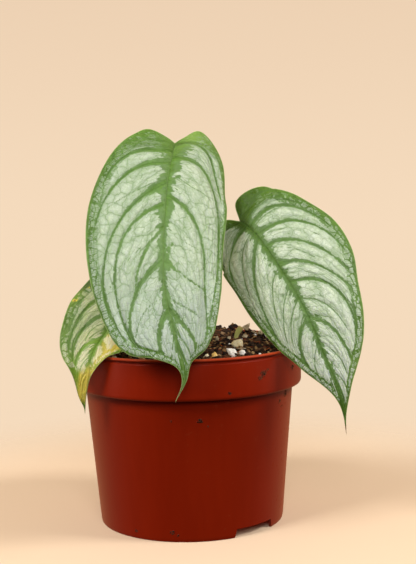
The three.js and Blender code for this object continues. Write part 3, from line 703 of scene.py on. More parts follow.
def stalk_green():
    """Satin green with pale flecks, brownish at the foot and darker towards the blade."""
    p = Paint("stalk_green")
    skin, share = p.vector("skin"), p.number("share")
    stripes = p.noise(p.scaled(skin, (3.0, 0.08, 1)), 1, 2) - 0.5
    flecks = p.noise(p.scaled(skin, (2.0, 0.9, 1)), 1.4, 3)
    colour = p.blend(p.fade(stripes, -0.25, 0.25), srgb(98, 138, 52), srgb(134, 166, 84))
    colour = p.blend(p.fade(share, 0.12, 0.0) * 0.6, colour, srgb(150, 152, 92))
    colour = p.blend(p.fade(share, 0.9, 1.0) * 0.5, colour, srgb(72, 108, 36))
    colour = p.blend(p.fade(flecks, 0.62, 0.72) * 0.45, colour, srgb(176, 192, 132))
    return p.finish(colour, 0.42 + 0.15 * stripes, stripes + flecks * 0.5, 0.00012, Specular_IOR_Level=0.4)


def stem_bark():
    """Green skin with corky patches, brown at the leaf scars and near the soil."""
    p = Paint("stem_bark")
    skin, share = p.vector("skin"), p.number("share")
    stripes = p.noise(p.scaled(skin, (2.4, 0.12, 1)), 1, 3) - 0.5
    cork = p.noise(p.scaled(skin, (0.9, 0.5, 1)), 1, 4)
    ring = p.number("ring")
    colour = p.blend(p.fade(stripes, -0.3, 0.3), srgb(92, 118, 48), srgb(124, 142, 72))
    colour = p.blend(p.fade(cork, 0.5, 0.66) * 0.8, colour, srgb(128, 104, 70))
    colour = p.blend(ring, colour, srgb(104, 80, 52))
    colour = p.blend(p.fade(share, 0.45, 0.3) * 0.85, colour, srgb(92, 70, 46))
    return p.finish(colour, 0.6 + 0.2 * stripes, stripes + cork, 0.0003, Specular_IOR_Level=0.3)


def stub_skin():
    """The withered skin of an old stalk, yellow-green and tan towards its end."""
    p = Paint("stub_skin")
    skin, share = p.vector("skin"), p.number("share")
    stripes = p.noise(p.scaled(skin, (2.6, 0.15, 1)), 1, 3) - 0.5
    colour = p.blend(p.fade(stripes, -0.3, 0.3), srgb(166, 168, 78), srgb(196, 194, 122))
    colour = p.blend(p.fade(share + 0.2 * stripes, 0.84, 1.0), colour, srgb(196, 168, 108))
    return p.finish(colour, 0.6 + 0.2 * stripes, stripes, 0.0003, Specular_IOR_Level=0.3)


def peat():
    """The soil between its crumbs: nearly black, with brown fibre."""
    p = Paint("peat")
    place = p.place()
    broad = p.noise(place, 180, 3)
    fine = p.noise(place, 900, 3)
    colour = p.blend(p.fade(broad, 0.35, 0.7), srgb(20, 11, 7), srgb(50, 32, 20))
    colour = p.blend(p.fade(fine, 0.56, 0.72) * 0.7, colour, srgb(100, 70, 44))
    return p.finish(colour, 0.95 - 0.1 * fine, broad + fine, 0.0008, Specular_IOR_Level=0.2)


def crumb(name, stops, roughness):
    """Small loose matter whose colour runs over the given ramp, by a number of its own for each piece."""
    p = Paint(name)
    place = p.place()
    shade = p.number("tint") + 0.5 * (p.noise(place, 700, 3) - 0.5)
    colour = p.node("ValToRGB", {"stops": stops}, {"Fac": shade}).outputs["Color"]
    return p.finish(colour, roughness, p.noise(place, 1600, 3), 0.0003, Specular_IOR_Level=0.2)


def mineral(name, first, second, veins):
    """A dull grain of two clouded tones, with pits and patches of a third."""
    p = Paint(name)
    place = p.place()
    broad = p.noise(place, 350, 3)
    pits = p.cells(p.shifted(place, p.tint_noise(place, 500), 0.001), 1300, "F1")
    colour = p.blend(p.fade(broad, 0.35, 0.65), first, second)
    colour = p.blend(p.fade(pits, 0.3, 0.1) * 0.5 + p.fade(broad, 0.62, 0.74) * 0.5, colour, veins)
    return p.finish(colour, 0.85 - 0.1 * broad, pits + broad, 0.0004, Specular_IOR_Level=0.3)


# Leaves

class Blade:
    """A leaf blade that is laid out flat and bent along its midrib."""

    def __init__(self, spec):
        self.spec = spec
        self.midrib = Path(spec["midrib"])
        self.length = self.midrib.length

    def bend(self, half, x, y):
        """Carries flat points to their place; gives the points and the upper face's normals there."""
        s = np.clip(y, 0, self.length)
        along = self.midrib.tangent(s)
        face = np.array(self.spec["face"], float)
        up = unit(face - (along @ face)[:, None] * along)
        roll = math.radians(self.spec["roll"])
        up = up * math.cos(roll) + np.cross(up, along) * math.sin(roll)
        across = np.cross(up, along)
        start, rate = math.radians(half["fold"]), math.radians(half["curl"])
        slope = start + rate * x
        out = (np.sin(slope) - math.sin(start)) / rate
        rise = (math.cos(start) - np.cos(slope)) / rate
        beyond = np.minimum(y, 0)
        lift = rise + self.spec["lobe_lift"] * beyond ** 2
        points = (self.midrib.at(s) + along * beyond[:, None]
                  + across * (half["side"] * out)[:, None] + up * lift[:, None])
        tilted = np.where(x > 0, slope, 0.0)
        normals = up * np.cos(tilted)[:, None] - across * (half["side"] * np.sin(tilted))[:, None]
        return points, unit(normals)


def row_feet(length, halves, margins, count):
    """Feet of the mesh rows on the midrib, spread over midrib and margin, with one at each side vein."""
    midrib_weight, margin_weight = 0.6, 0.5
    fine = np.linspace(0, 1, 4000) ** 2 * length
    measure = midrib_weight * fine
    for half, margin in zip(halves, margins):
        veins = half["veins"]
        feet = [0, *(v[0] for v in veins), length]
        ends = [0, *(v[3] for v in veins), 1]
        measure = measure + margin_weight * margin.length * np.interp(fine, feet, ends)
    rows = np.interp(np.linspace(0, measure[-1], count + 1), measure, fine)
    for foot in sorted(v[0] for half in halves for v in half["veins"]):
        rows[np.argmin(np.abs(rows[1:-1] - foot)) + 1] = foot
    return rows


def lies_within(points, outline):
    """Whether each flat point lies within the outline, which closes along the midrib."""
    start, stop = outline, np.roll(outline, -1, axis=0)
    x, y = points[..., 0, None], points[..., 1, None]
    rise = np.where(stop[:, 1] == start[:, 1], 1e-9, stop[:, 1] - start[:, 1])
    crossing = start[:, 0] + (y - start[:, 1]) / rise * (stop[:, 0] - start[:, 0])
    spans = (start[:, 1] > y) != (stop[:, 1] > y)
    return np.sum(spans & (x < crossing), axis=-1) % 2 == 1


def held_inside(feet, turns, ends, outline):
    """The rows' turning points, drawn in towards the middles until no row runs outside the outline."""
    middles = (feet + ends) / 2
    t = np.linspace(0.15, 0.96, 22)[:, None]            # a row's two ends lie on the outline itself
    unset = -1.0
    reach = np.full(len(feet), unset)
    for share in np.linspace(0, 1, 21):
        pulled = middles + (turns - middles) * share
        curve = bow(feet[:, None], pulled[:, None], ends[:, None], t)
        reach = np.where(lies_within(curve, outline).all(axis=1), share, reach)
    reach = np.where(reach == unset, 1, reach)

    # Neighbouring rows are drawn in alike, so that they don't cross
    span = 9
    windows = np.lib.stride_tricks.sliding_window_view
    least = windows(np.pad(reach, span, mode="edge"), 2 * span + 1).min(axis=-1)
    smooth = windows(np.pad(least, span, mode="edge"), 2 * span + 1).mean(axis=-1)
    return middles + (turns - middles) * smooth[:, None]


def half_grid(half, margin, rows, length, across):
    """Flat points of one half, in rows that bend from the midrib to the margin, and where each row ends."""
    veins = half["veins"]
    feet = [0, *(v[0] for v in veins), length]
    turn_x = np.interp(rows, feet, [0, *(v[1] for v in veins), 0])
    turn_y = np.interp(rows, feet, [0, *(v[2] for v in veins), length])
    ends = np.interp(rows, feet, [0, *(v[3] for v in veins), 1])
    start = np.stack([np.zeros(len(rows)), rows], -1)
    end = margin.at(ends * margin.length)
    turn = held_inside(start, np.stack([turn_x, turn_y], -1), end, margin.points[::MARGIN_STRIDE])
    return bow(start[:, None], turn[:, None], end[:, None], across[:, None]), ends


def vein_marks(blade, half, margin, points, edge):
    """How far flat points lie from the green bands, the midrib's green and the thick and thin veins.

    Half the width of the green round each vein, and round the midrib, is taken off the distance to it.
    """
    from_midrib = points[:, 0]
    to_tip = 1 - np.clip(points[:, 1] / blade.length, 0, 1)
    flare = blade.spec["flare"] * np.exp(-np.maximum(points[:, 1], 0) / FLARE_REACH)
    bands = [from_midrib - (0.3 + 1.4 * to_tip + flare)]
    shore = from_midrib - (0.8 + blade.spec["shore"] * to_tip ** 1.3 + flare)
    core = from_midrib / 1.3
    thin = np.full(len(points), 99.0)
    relief = np.zeros(len(points))
    nearest = from_midrib.copy()
    fade_out = smoothstep(2.2, 3.8, edge)
    for foot, tx, ty, stop, weight in half["veins"]:
        target = margin.at(stop * margin.length)
        t = np.linspace(0, 1, VEIN_POINTS)[:, None]
        line = bow(np.array([0, foot]), np.array([tx, ty]), target, t)
        gap, run = distance_to(points, line)
        if weight > THIN_WEIGHT:
            least, more, reach = blade.spec["band"]
            width = weight * (least + more * np.exp(-run / reach)) * (1.15 - 0.55 * foot / blade.length)
            bands.append(gap - width * fade_out + 4 * (1 - fade_out))
            core = np.minimum(core, gap / weight + 3 * (1 - fade_out))
        else:
            stop_at = (0.45 + 1.1 * weight) * np.linalg.norm(line[0] - line[-1])
            thin = np.minimum(thin, gap + 1.5 * smoothstep(stop_at * 0.7, stop_at, run))
        nearest = np.minimum(nearest, gap + (2 if weight < THIN_WEIGHT else 0))
        relief += weight * bump(gap, 0, VEIN_WIDTH) * fade_out
    for ax, ay, bx, by, cx, cy, *broad in half.get("lines", []):
        t = np.linspace(0, 1, LINE_POINTS)[:, None]
        line = bow(np.array([ax, ay]), np.array([bx, by]), np.array([cx, cy]), t)
        gap, run = distance_to(points, line)
        thin = np.minimum(thin, gap)
        if broad:
            bands.append(gap + 0.12 - broad[0] * np.exp(-run / LINE_REACH))
        relief += 0.35 * bump(gap, 0, 0.7)
    return bands, shore, core, thin, nearest, relief


def blade_half(blade, half, margin, rows, columns):
    """One half laid out flat: its points, the fields that its colours follow, and the shape of its faces."""
    length = blade.length
    across = (np.arange(columns + 1) / columns) ** COLUMN_CROWDING
    flat, ends = half_grid(half, margin, rows, length, across)
    grid = flat.shape[:2]
    steps = np.linalg.norm(np.diff(flat, axis=1), axis=2)
    along = np.concatenate([np.zeros((len(rows), 1)), np.cumsum(steps, axis=1)], 1).ravel()
    points = flat.reshape(-1, 2)
    edge, rim = distance_to(points, margin.points[::MARGIN_STRIDE])
    share = np.broadcast_to(ends[:, None], grid).ravel()
    spread = np.broadcast_to((0.45 * rows / length + 0.55 * ends)[:, None], grid).ravel() * STREAK_SPREAD
    bands, shore, core, thin, nearest, relief = vein_marks(blade, half, margin, points, edge)

    # A collective vein runs along the margin, where the side veins have looped into it
    fringe = np.interp(share, *zip(*half["fringe"]))
    loop = np.abs(edge - fringe)
    looped = smoothstep(half["loops_from"], half["loops_from"] + 0.15, share)
    looped = looped * (1 - smoothstep(0.9, 0.96, share))
    bands.append(loop + 0.15 + 3 * (1 - looped))
    relief += 0.6 * bump(loop, 0, VEIN_WIDTH) * looped

    green = -BAND_BLEND * np.log(sum(np.exp(-np.clip(band, -20, 20) / BAND_BLEND) for band in bands))
    tip = np.clip(points[:, 1] / length, 0, 1)
    level = np.zeros(len(points))
    second = half["side"] > 0
    fields = {
        "flat": np.stack([half["side"] * points[:, 0], points[:, 1], level], -1),
        "streak": np.stack([spread + STREAK_SHIFT * second, along, level], -1),
        "green": green, "shore": shore, "core": core, "thin": thin, "edge": edge,
        "rim": rim + RIM_SHIFT * second, "fringe": fringe - edge,
        "moss": np.interp(share, *zip(*half["moss"])), "mid": points[:, 0], "tip": tip,
        "lobe": 1 - smoothstep(half["lobe"] * 0.7, half["lobe"], share),
    }

    # The margin waves, the blade puckers between its veins, and the veins are sunk above and raised below
    w = share ** (1 / WAVE_STRETCH)
    wave = (WAVE_HEIGHT * np.broadcast_to(across ** 3, grid).ravel() * np.sin(np.pi * w)
            * np.sin(2 * np.pi * WAVE_COUNT * w + half["side"]) * smoothstep(0.12, 0.35, w))
    pucker = PUCKER * (1 - bump(nearest, 0, 3.4)) * smoothstep(0, 5, edge) * (1 - smoothstep(0.8, 0.95, tip))
    groove = 0.22 * relief + 0.4 * bump(points[:, 0], 0, 0.55) * (1 - 0.8 * tip)
    ridge = 1.1 * (1 - 0.9 * np.sqrt(tip)) * bump(points[:, 0], 0, 1.1) + 0.22 * relief
    taper = mix(0.45, 1.0, smoothstep(0, 1.6, edge))
    shape = {"lift": wave + pucker, "groove": groove * taper, "ridge": ridge * taper, "taper": taper}
    return points, fields, shape


def blob(flat, x, y, radius):
    """A soft round mark on the flat leaf."""
    return bump(np.hypot(flat[:, 0] - x, flat[:, 1] - y), 0, radius)


def leaf_marks(name, flat, edge):
    """Fields for yellowing with age, for the deepest and the lightest green, and for rust. On the old leaf
    the deepest green is partly painted shade and the lightest partly painted light.
    """
    x, y = flat[:, 0], flat[:, 1]
    none = np.zeros(len(flat))
    if name == "left":
        right_half = smoothstep(0.5, 3, x) * smoothstep(2, 16, y)
        low = smoothstep(47, 58, y + 0.4 * x) * (1 - 0.7 * smoothstep(-2.5, -5.5, x))
        age = 0.62 * right_half + 0.4 * bump(x, 8.5, 2.6) * right_half
        age = np.maximum(age, 0.85 * low) - 0.5 * right_half * (1 - smoothstep(0.6, 2.4, edge)) * (1 - low)
        age = np.maximum(age, 0) * (1 - smoothstep(69, 75, y))
        # Painted shade on the old leaf: the front leaf's shadow on its upper lobe and the shade of a fold
        # along a side vein.
        deep = np.maximum(0.7 * blob(flat, -22, 4, 12), 0.6 * blob(flat, -12, 33, 6))
        deep = deep + 0.6 * smoothstep(71, 77, y)
        # Painted light: the old leaf's inner lower part is made lighter, as where more light falls.
        fresh = 0.3 * smoothstep(-20, -13, x) + 0.6 * smoothstep(-13, -6, x) * smoothstep(24, 40, y)
        fresh = np.maximum(fresh, 0.5 * bump(y, 17, 7)) * (1 - smoothstep(70, 75, y))
        rust = 0.95 * blob(flat, -24.9, 20.3, 1.7) + 0.8 * blob(flat, -22.2, 10, 0.8)
        return age, deep, fresh, rust
    if name == "right":
        deep = blob(flat, 4, -3, 11) + 0.9 * blob(flat, 14, -9, 8)
        deep = deep + 0.5 * bump(x, 0, 3.5) * (1 - smoothstep(20, 70, y))
        age = 0.2 * blob(flat, 8, 98, 5) * (1 - smoothstep(3, 6, edge))
        return age, np.minimum(deep, 1), 0.35 * blob(flat, 12, 100, 10), none
    fresh = 0.8 * blob(flat, 9, -8, 8) + 0.3 * blob(flat, 0, 4, 8)
    return none, 0.12 * blob(flat, 0, 10, 14), fresh, none


def merged(corners):
    """The face without repeats of a corner, or None where too few corners are left."""
    kept = [int(v) for i, v in enumerate(corners) if v != corners[i - 1]]
    return kept if len(set(kept)) > 2 else None


def blade_faces(grids, rims, halves, under_start):
    """Faces of the two sides and the rim, and for each face the number of its material: 0 above, 1 below."""
    faces, kinds = [], []
    for index, half in zip(grids, halves):
        a, b, c, d = index[:-1, :-1], index[:-1, 1:], index[1:, 1:], index[1:, :-1]
        for quad in np.stack([a, b, c, d], -1).reshape(-1, 4).tolist():
            corners = merged(quad)
            if corners is None:
                continue
            if half["side"] > 0:
                corners.reverse()
            faces += [corners, [under_start + v for v in reversed(corners)]]
            kinds += [0, 1]
    for index, bulge, half in zip(grids, rims, halves):
        border = index[:, -1]
        for i in range(len(border) - 1):
            near, far = bulge[i], bulge[i + 1]
            upper = [border[i], near, far, border[i + 1]]
            lower = [near, under_start + border[i], under_start + border[i + 1], far]
            for quad in (upper, lower):
                if half["side"] > 0:
                    quad.reverse()
                corners = merged(quad)
                if corners:
                    faces.append(corners)
                    kinds.append(0)
    return faces, kinds


def build_leaf(name):
    spec = LEAVES[name]
    halves = spec["halves"]
    blade = Blade(spec)
    margins = [Path(half["outline"]) for half in halves]
    rows = row_feet(blade.length, halves, margins, spec["rows"])
    columns = spec["columns"]
    top, under, fields, grids = [], [], [], []
    used = 0
    for half, margin in zip(halves, margins):
        flat, marks, shape = blade_half(blade, half, margin, rows, columns)
        middle, normal = blade.bend(half, flat[:, 0], flat[:, 1])
        middle = middle + normal * shape["lift"][:, None]
        thick = BLADE / 2 * shape["taper"]
        top.append(middle + normal * (thick - shape["groove"])[:, None])
        under.append(middle - normal * (thick + shape["ridge"])[:, None])
        fields.append(marks)

        # Both halves share the points of the midrib, and the first and the last row are one point each
        index = used + np.arange(len(flat)).reshape(len(rows), columns + 1)
        index[0, :] = index[0, 0]
        index[-1, :] = index[-1, 0]
        if grids:
            index[:, 0] = grids[0][:, 0]
            index[0, :], index[-1, :] = grids[0][0, 0], grids[0][-1, 0]
        grids.append(index)
        used += len(flat)
    top, under = np.vstack(top), np.vstack(under)
    marks = {key: np.concatenate([f[key] for f in fields]) for key in fields[0]}
    marks.update(zip(("age", "deep", "fresh", "rust"), leaf_marks(name, marks["flat"], marks["edge"])))

    # The rim between the faces bulges a little, so that it is round, and closes on one point at each end
    rim_points, rims = [], []
    for index in grids:
        border, next_in = index[:, -1], index[:, -2]
        centre = (top[border] + under[border]) / 2
        outward = unit(centre - (top[next_in] + under[next_in]) / 2 + 1e-9)
        rims.append(2 * used + len(rows) * len(rims) + np.arange(len(rows)))
        rim_points.append(centre + outward * BLADE * RIM_BULGE)
    rims[1][0], rims[1][-1] = rims[0][0], rims[0][-1]
    faces, kinds = blade_faces(grids, rims, halves, used)

    # Points that no face uses are left out
    points = np.vstack([top, under, *rim_points])
    kept = np.unique(np.concatenate([np.array(face) for face in faces]))
    renumber = np.full(len(points), -1)
    renumber[kept] = np.arange(len(kept))
    mesh = make_mesh("leaf_" + name, points[kept], [renumber[face].tolist() for face in faces])
    borders = np.concatenate([index[:, -1] for index in grids])
    for key, values in marks.items():
        store(mesh, key, np.concatenate([values, values, values[borders]])[kept])
    mesh.polygons.foreach_set("material_index", kinds)
    tones = TONES[name]
    return make_object("leaf_blade_" + name, mesh, blade_top("blade_top_" + name, tones),
                       blade_under("blade_under_" + name, tones))


# Stalks

def tube(name, path, upper, radius_at, steps, sides, material, extras=None):
    """A closed stalk along a path. radius_at(share, angle) gives its radius, angle 0 being the upper side."""
    curve = Path(path)
    share = np.linspace(0, 1, steps + 1)
    centre, along = curve.at(share * curve.length), curve.tangent(share * curve.length)
    upper = np.array(upper, float)
    up = unit(upper - (along @ upper)[:, None] * along)
    across = np.cross(along, up)
    angle = np.linspace(0, 2 * np.pi, sides, endpoint=False)
    radius = radius_at(share[:, None], angle[None, :])
    points = (centre[:, None] + up[:, None] * (radius * np.cos(angle))[..., None]
              + across[:, None] * (radius * np.sin(angle))[..., None]).reshape(-1, 3)
    points = np.vstack([points, centre[:1], centre[-1:]])
    faces = []
    foot, head = len(points) - 2, len(points) - 1
    for i in range(sides):
        j = (i + 1) % sides
        faces += [(foot, j, i), (head, steps * sides + i, steps * sides + j)]
        faces += [(low + i, low + j, low + sides + j, low + sides + i)
                  for low in range(0, steps * sides, sides)]
    mesh = make_mesh(name, points, faces)
    round_way = np.broadcast_to(np.abs(angle - np.pi)[None, :] * 1.4, radius.shape).ravel()
    long_way = np.broadcast_to(share[:, None] * curve.length, radius.shape).ravel()
    sideways = np.broadcast_to(np.sin(angle)[None, :], radius.shape).ravel()
    skin = np.stack([round_way, long_way, sideways], -1)
    store(mesh, "skin", np.vstack([skin, skin[:1], skin[-1:]]))
    whole = np.broadcast_to(share[:, None], radius.shape).ravel()
    store(mesh, "share", np.r_[whole, 0, 1])
    for key, function in (extras or {}).items():
        values = np.broadcast_to(function(share)[:, None], radius.shape).ravel()
        store(mesh, key, np.r_[values, values[0], values[-1]])
    return make_object(name, mesh, material)


# The sheath at the foot of a stalk reaches up to the given share of its length, and upper is the way it opens
STALKS = {
    "front": {"path": [(-0.5, 1.9, 113.3), (-1, 3.5, 128), (-1, 5, 152), (-1.5, 3, 178), (-3.4, -4.5, 190),
                       (-5, -11.5, 196.1)],
              "sheath": 0.3, "upper": (0, -1, 0.2)},
    "right": {"path": [(8.1, 4.6, 102), (8.8, 4.2, 112), (13, 3.2, 128), (21, 1.6, 141.5), (27.2, -1.2, 149),
                       (29.6, -7, 155.4)],
              "sheath": 0.3, "upper": (0.9, -0.4, 0.2)},
    "left": {"path": [(-1.9, 3.1, 100), (-3.8, 2.3, 106), (-9, -1, 113), (-17, -5.5, 117.5),
                      (-23.3, -10.2, 119.8), (-27, -15.2, 123.7)],
             "sheath": 0.35, "upper": (-0.7, -0.5, 0.6)},
}


def build_stalk(name, material):
    spec = STALKS[name]

    def radius(share, angle):
        foot = 0.75 * np.maximum(0, 1 - share / spec["sheath"])
        knee = 0.22 * bump(share, 0.94, 0.05)
        groove = 0.22 * bump(np.sin(angle / 2), 0, 0.35) * (1 - knee)
        turned = np.abs((angle + np.pi) % (2 * np.pi) - np.pi)
        wings = 0.16 * bump(turned, 0.75, 0.16) * np.clip(1.4 * (1 - share / spec["sheath"]), 0, 1)
        return STALK_RADIUS * (1 + foot + knee - groove + wings)

    return tube("stalk_of_" + name, spec["path"], spec["upper"], radius, 160, 36, material)


STEM_PATH = [STEM_FOOT, (4, 6, 92), (3.6, 5.6, 98), (2, 4, 105), (0, 2, 112)]
STEM_RINGS = (0.57, 0.69, 0.81, 0.94)          # leaf scars, as shares of the stem's length


def build_stem(material):
    def rings(share):
        return sum(bump(share, at, 0.025) for at in STEM_RINGS)

    def radius(share, angle):
        ribs = 0.05 * np.sin(angle * 5 + share * 9)
        return STEM_RADIUS * (1 - 0.1 * share) * (1 + 0.1 * rings(share)) + ribs

    return tube("main_stem", STEM_PATH, (0, -1, 0), radius, 180, 40, material, {"ring": rings})


def build_stub(material):
    path = [STUB_FOOT, (25.6, 9, 93), (26.4, 9.3, 96), (28.8, 9.8, 99.6)]

    def radius(share, angle):
        wrinkle = 0.06 * np.sin(angle * 6) * smoothstep(0.3, 1, share)
        return STUB_RADIUS * (0.82 + 0.34 * smoothstep(0.55, 0.95, share) + wrinkle)

    return tube("old_stub", path, (0, -1, 0), radius, 60, 24, material)


# Pot

def rounded(corners):
    """The closed outline with each corner cut by a small arc."""
    points = []
    for before, here, after in zip(corners[-1:] + corners[:-1], corners, corners[1:] + corners[:1]):
        here = np.array(here, float)
        arms = []
        for other in (before, after):
            arm = np.array(other, float) - here
            reach = min(CORNER_RADIUS, 0.4 * np.hypot(*arm))
            arms.append(here + arm / max(np.hypot(*arm), 1e-9) * reach)
        for t in np.linspace(0, 1, CORNER_STEPS):
            points.append(bow(arms[0], here, arms[1], t))
    return points


def pot_profile():
    """Half the pot's section, from the middle of the floor out, up over the lip and down again within."""
    under_band = POT_HEIGHT - BAND_HEIGHT
    floor = FLOOR_LIFT + WALL
    ledge = under_band + WALL
    foot = [
        (BUTTON_RADIUS, 0), (BUTTON_RADIUS + 3, FLOOR_LIFT), (FOOT_RADIUS - WALL, FLOOR_LIFT),
        (FOOT_RADIUS - WALL, 0), (FOOT_RADIUS - 0.15, 0), (FOOT_RADIUS + 0.15, 1.8),
    ]
    band = [
        (BODY_RADIUS, under_band), (BAND_RADIUS - 0.7, under_band), (BAND_RADIUS - 0.25, under_band + 0.8),
        (BAND_RADIUS - 0.12, under_band + 1.6), (BAND_RADIUS, POT_HEIGHT - 2.9),
    ]
    lip = [
        (BAND_RADIUS - 0.7, POT_HEIGHT - 2.5), (BAND_RADIUS - 0.7, POT_HEIGHT - 1.7),
        (RIM_RADIUS, POT_HEIGHT - 1.2), (RIM_RADIUS, POT_HEIGHT - 0.5), (RIM_RADIUS - 0.6, POT_HEIGHT),
        (BAND_RADIUS - WALL + 0.3, POT_HEIGHT), (BAND_RADIUS - WALL, POT_HEIGHT - 0.5),
    ]
    within = [
        (BAND_RADIUS - WALL, ledge + 0.6), (BAND_RADIUS - WALL - 0.4, ledge), (BODY_RADIUS - WALL, ledge),
        (FOOT_RADIUS + POT_SLOPE * (floor + 1) - WALL, floor + 1),
        (FOOT_RADIUS + POT_SLOPE * floor - WALL - 1, floor),
        (BUTTON_RADIUS + 2, floor), (BUTTON_RADIUS - WALL, WALL),
    ]
    return foot + band + lip + within


def revolve(name, profile, segments, axis_low, axis_high):
    """A closed solid of revolution whose outline starts and ends on the axis at the given heights."""
    ring = len(profile)
    points = []
    for i in range(segments):
        angle = 2 * math.pi * i / segments
        points += [(r * math.cos(angle), r * math.sin(angle), z) for r, z in profile]
    low, high = len(points), len(points) + 1
    points += [(0, 0, axis_low), (0, 0, axis_high)]
    faces = []
    for i in range(segments):
        a, b = i * ring, (i + 1) % segments * ring
        faces += [(low, b, a), (high, a + ring - 1, b + ring - 1)]
        faces += [(a + k, b + k, b + k + 1, a + k + 1) for k in range(ring - 1)]
    return make_mesh(name, points, faces)


def prism(outline, place):
    """Points and faces of a prism between two outlines that place(x, y, end) carries into space."""
    count = len(outline)
    points = [place(x, y, end) for end in (0, 1) for x, y in outline]
    faces = [tuple(range(count))[::-1], tuple(range(count, 2 * count))]
    faces += [(i, (i + 1) % count, count + (i + 1) % count, count + i) for i in range(count)]
    return points, faces


def pot_cutters():
    """The two drain notches in the foot ring and the holes in the raised floor, as one mesh."""
    points, faces = [], []

    def add(more_points, more_faces):
        start = len(points)
        points.extend(more_points)
        faces.extend(tuple(start + v for v in face) for face in more_faces)

    notch = [(-NOTCH_HALF_WIDTH, -1), (NOTCH_HALF_WIDTH, -1),
             (NOTCH_HALF_WIDTH - NOTCH_SLANT, NOTCH_HEIGHT), (-NOTCH_HALF_WIDTH + NOTCH_SLANT, NOTCH_HEIGHT)]
    near, far = -FOOT_RADIUS - 4, -FOOT_RADIUS + 8
    for degrees in NOTCH_ANGLES:
        turn = Matrix.Rotation(math.radians(degrees), 3, "Z")
        add(*prism(notch, lambda x, y, end: tuple(turn @ Vector((x, mix(far, near, end), y)))))
    angles = np.linspace(0, 2 * math.pi, HOLE_SIDES + 1)[:-1]
    circle = [(HOLE_RADIUS * math.cos(a), HOLE_RADIUS * math.sin(a)) for a in angles]
    low, high = FLOOR_LIFT - 1, FLOOR_LIFT + WALL + 1
    for i in range(HOLE_COUNT):
        angle = 2 * math.pi * (i + 0.5) / HOLE_COUNT
        centre = (HOLE_CIRCLE * math.cos(angle), HOLE_CIRCLE * math.sin(angle))
        add(*prism(circle, lambda x, y, end: (centre[0] + x, centre[1] + y, mix(low, high, end))))
    return make_mesh("pot_cutters", points, faces, smooth=False)


def build_pot():
    outline = rounded(pot_profile())
    pot = make_object("nursery_pot", revolve("nursery_pot", outline, POT_SEGMENTS, 0, WALL), pot_plastic())
    cutters = make_object("pot_cutters", pot_cutters())
    cut = pot.modifiers.new("openings", "BOOLEAN")
    cut.operation = "DIFFERENCE"
    cut.solver = "EXACT"
    cut.object = cutters
    mesh = evaluated(pot)
    bpy.data.objects.remove(cutters)
    mesh.polygons.foreach_set("use_smooth", [True] * len(mesh.polygons))
    mesh.set_sharp_from_angle(angle=math.radians(SHARP_EDGE))
    return pot


# Soil

def lattice(i, j):
    """A number from 0 to 1 that looks random but is always the same for a corner of the lattice."""
    s = np.sin(i * 127.1 + j * 311.7) * 43758.5453
    return s - np.floor(s)


def lumps(x, y, size):
    """Smooth noise between -1 and 1 with bumps of the given size."""
    u, v = x / size, y / size
    i, j = np.floor(u), np.floor(v)
    a, b = (t * t * (3 - 2 * t) for t in (u - i, v - j))
    low = mix(lattice(i, j), lattice(i + 1, j), a)
    high = mix(lattice(i, j + 1), lattice(i + 1, j + 1), a)
    return mix(low, high, b) * 2 - 1


# Place, radius and height of the larger clods
CLODS = [
    (16, 42, 7, 4), (27, 41, 8, 5), (35, 36, 6, 3), (43, 31, 8, 4), (-14, 38, 9, 4), (-33, 27, 8, 3.5),
    (-42, 5, 9, 3), (-8, 22, 8, 3), (13, 21, 7, 3), (40, 2, 8, 2), (-22, 8, 7, 2), (-1, 45, 8, 4),
    (22, 26, 7, 3), (35, 12, 7, 2.5), (-48, 18, 6, 3),
]


def soil_height(x, y, fine=0.0):
    """Height of the soil surface; fine adds crumbs that are smaller than the clods."""
    r = np.minimum(1, np.hypot(x, y) / SOIL_RADIUS)
    inward = np.minimum(1, (1 - r) * 6)
    clods = np.zeros_like(r)
    for cx, cy, radius, height in CLODS:
        d = np.minimum(1, np.hypot(x - cx, y - cy) / radius)
        clods = np.maximum(clods, height * (1 - d * d) ** 2)
    rough = 1.3 * lumps(x, y, 9) + 0.8 * lumps(x + 40, y - 17, 4.5)
    crumbs = 0.45 * lumps(x + 5, y + 9, 2.1) + 0.3 * lumps(x - 30, y, 1.2) + 0.15 * lumps(x, y + 60, 0.7)
    crumbs = fine * crumbs * np.minimum(1, (1 - r) * 12)
    return SOIL_EDGE + SOIL_HEAP * (1 - r * r) + inward * (rough + clods) + crumbs


def keep_holes(x, y, z):
    """Heights with a narrow well round the stem and the stub, which stand in it without touching."""
    for (fx, fy, fz), radius in ((STEM_FOOT, STEM_RADIUS), (STUB_FOOT, STUB_RADIUS)):
        d = np.hypot(x - fx, y - fy)
        z = np.where(d < radius + WELL_GAP, np.minimum(z, fz - GAP), z)
    return z


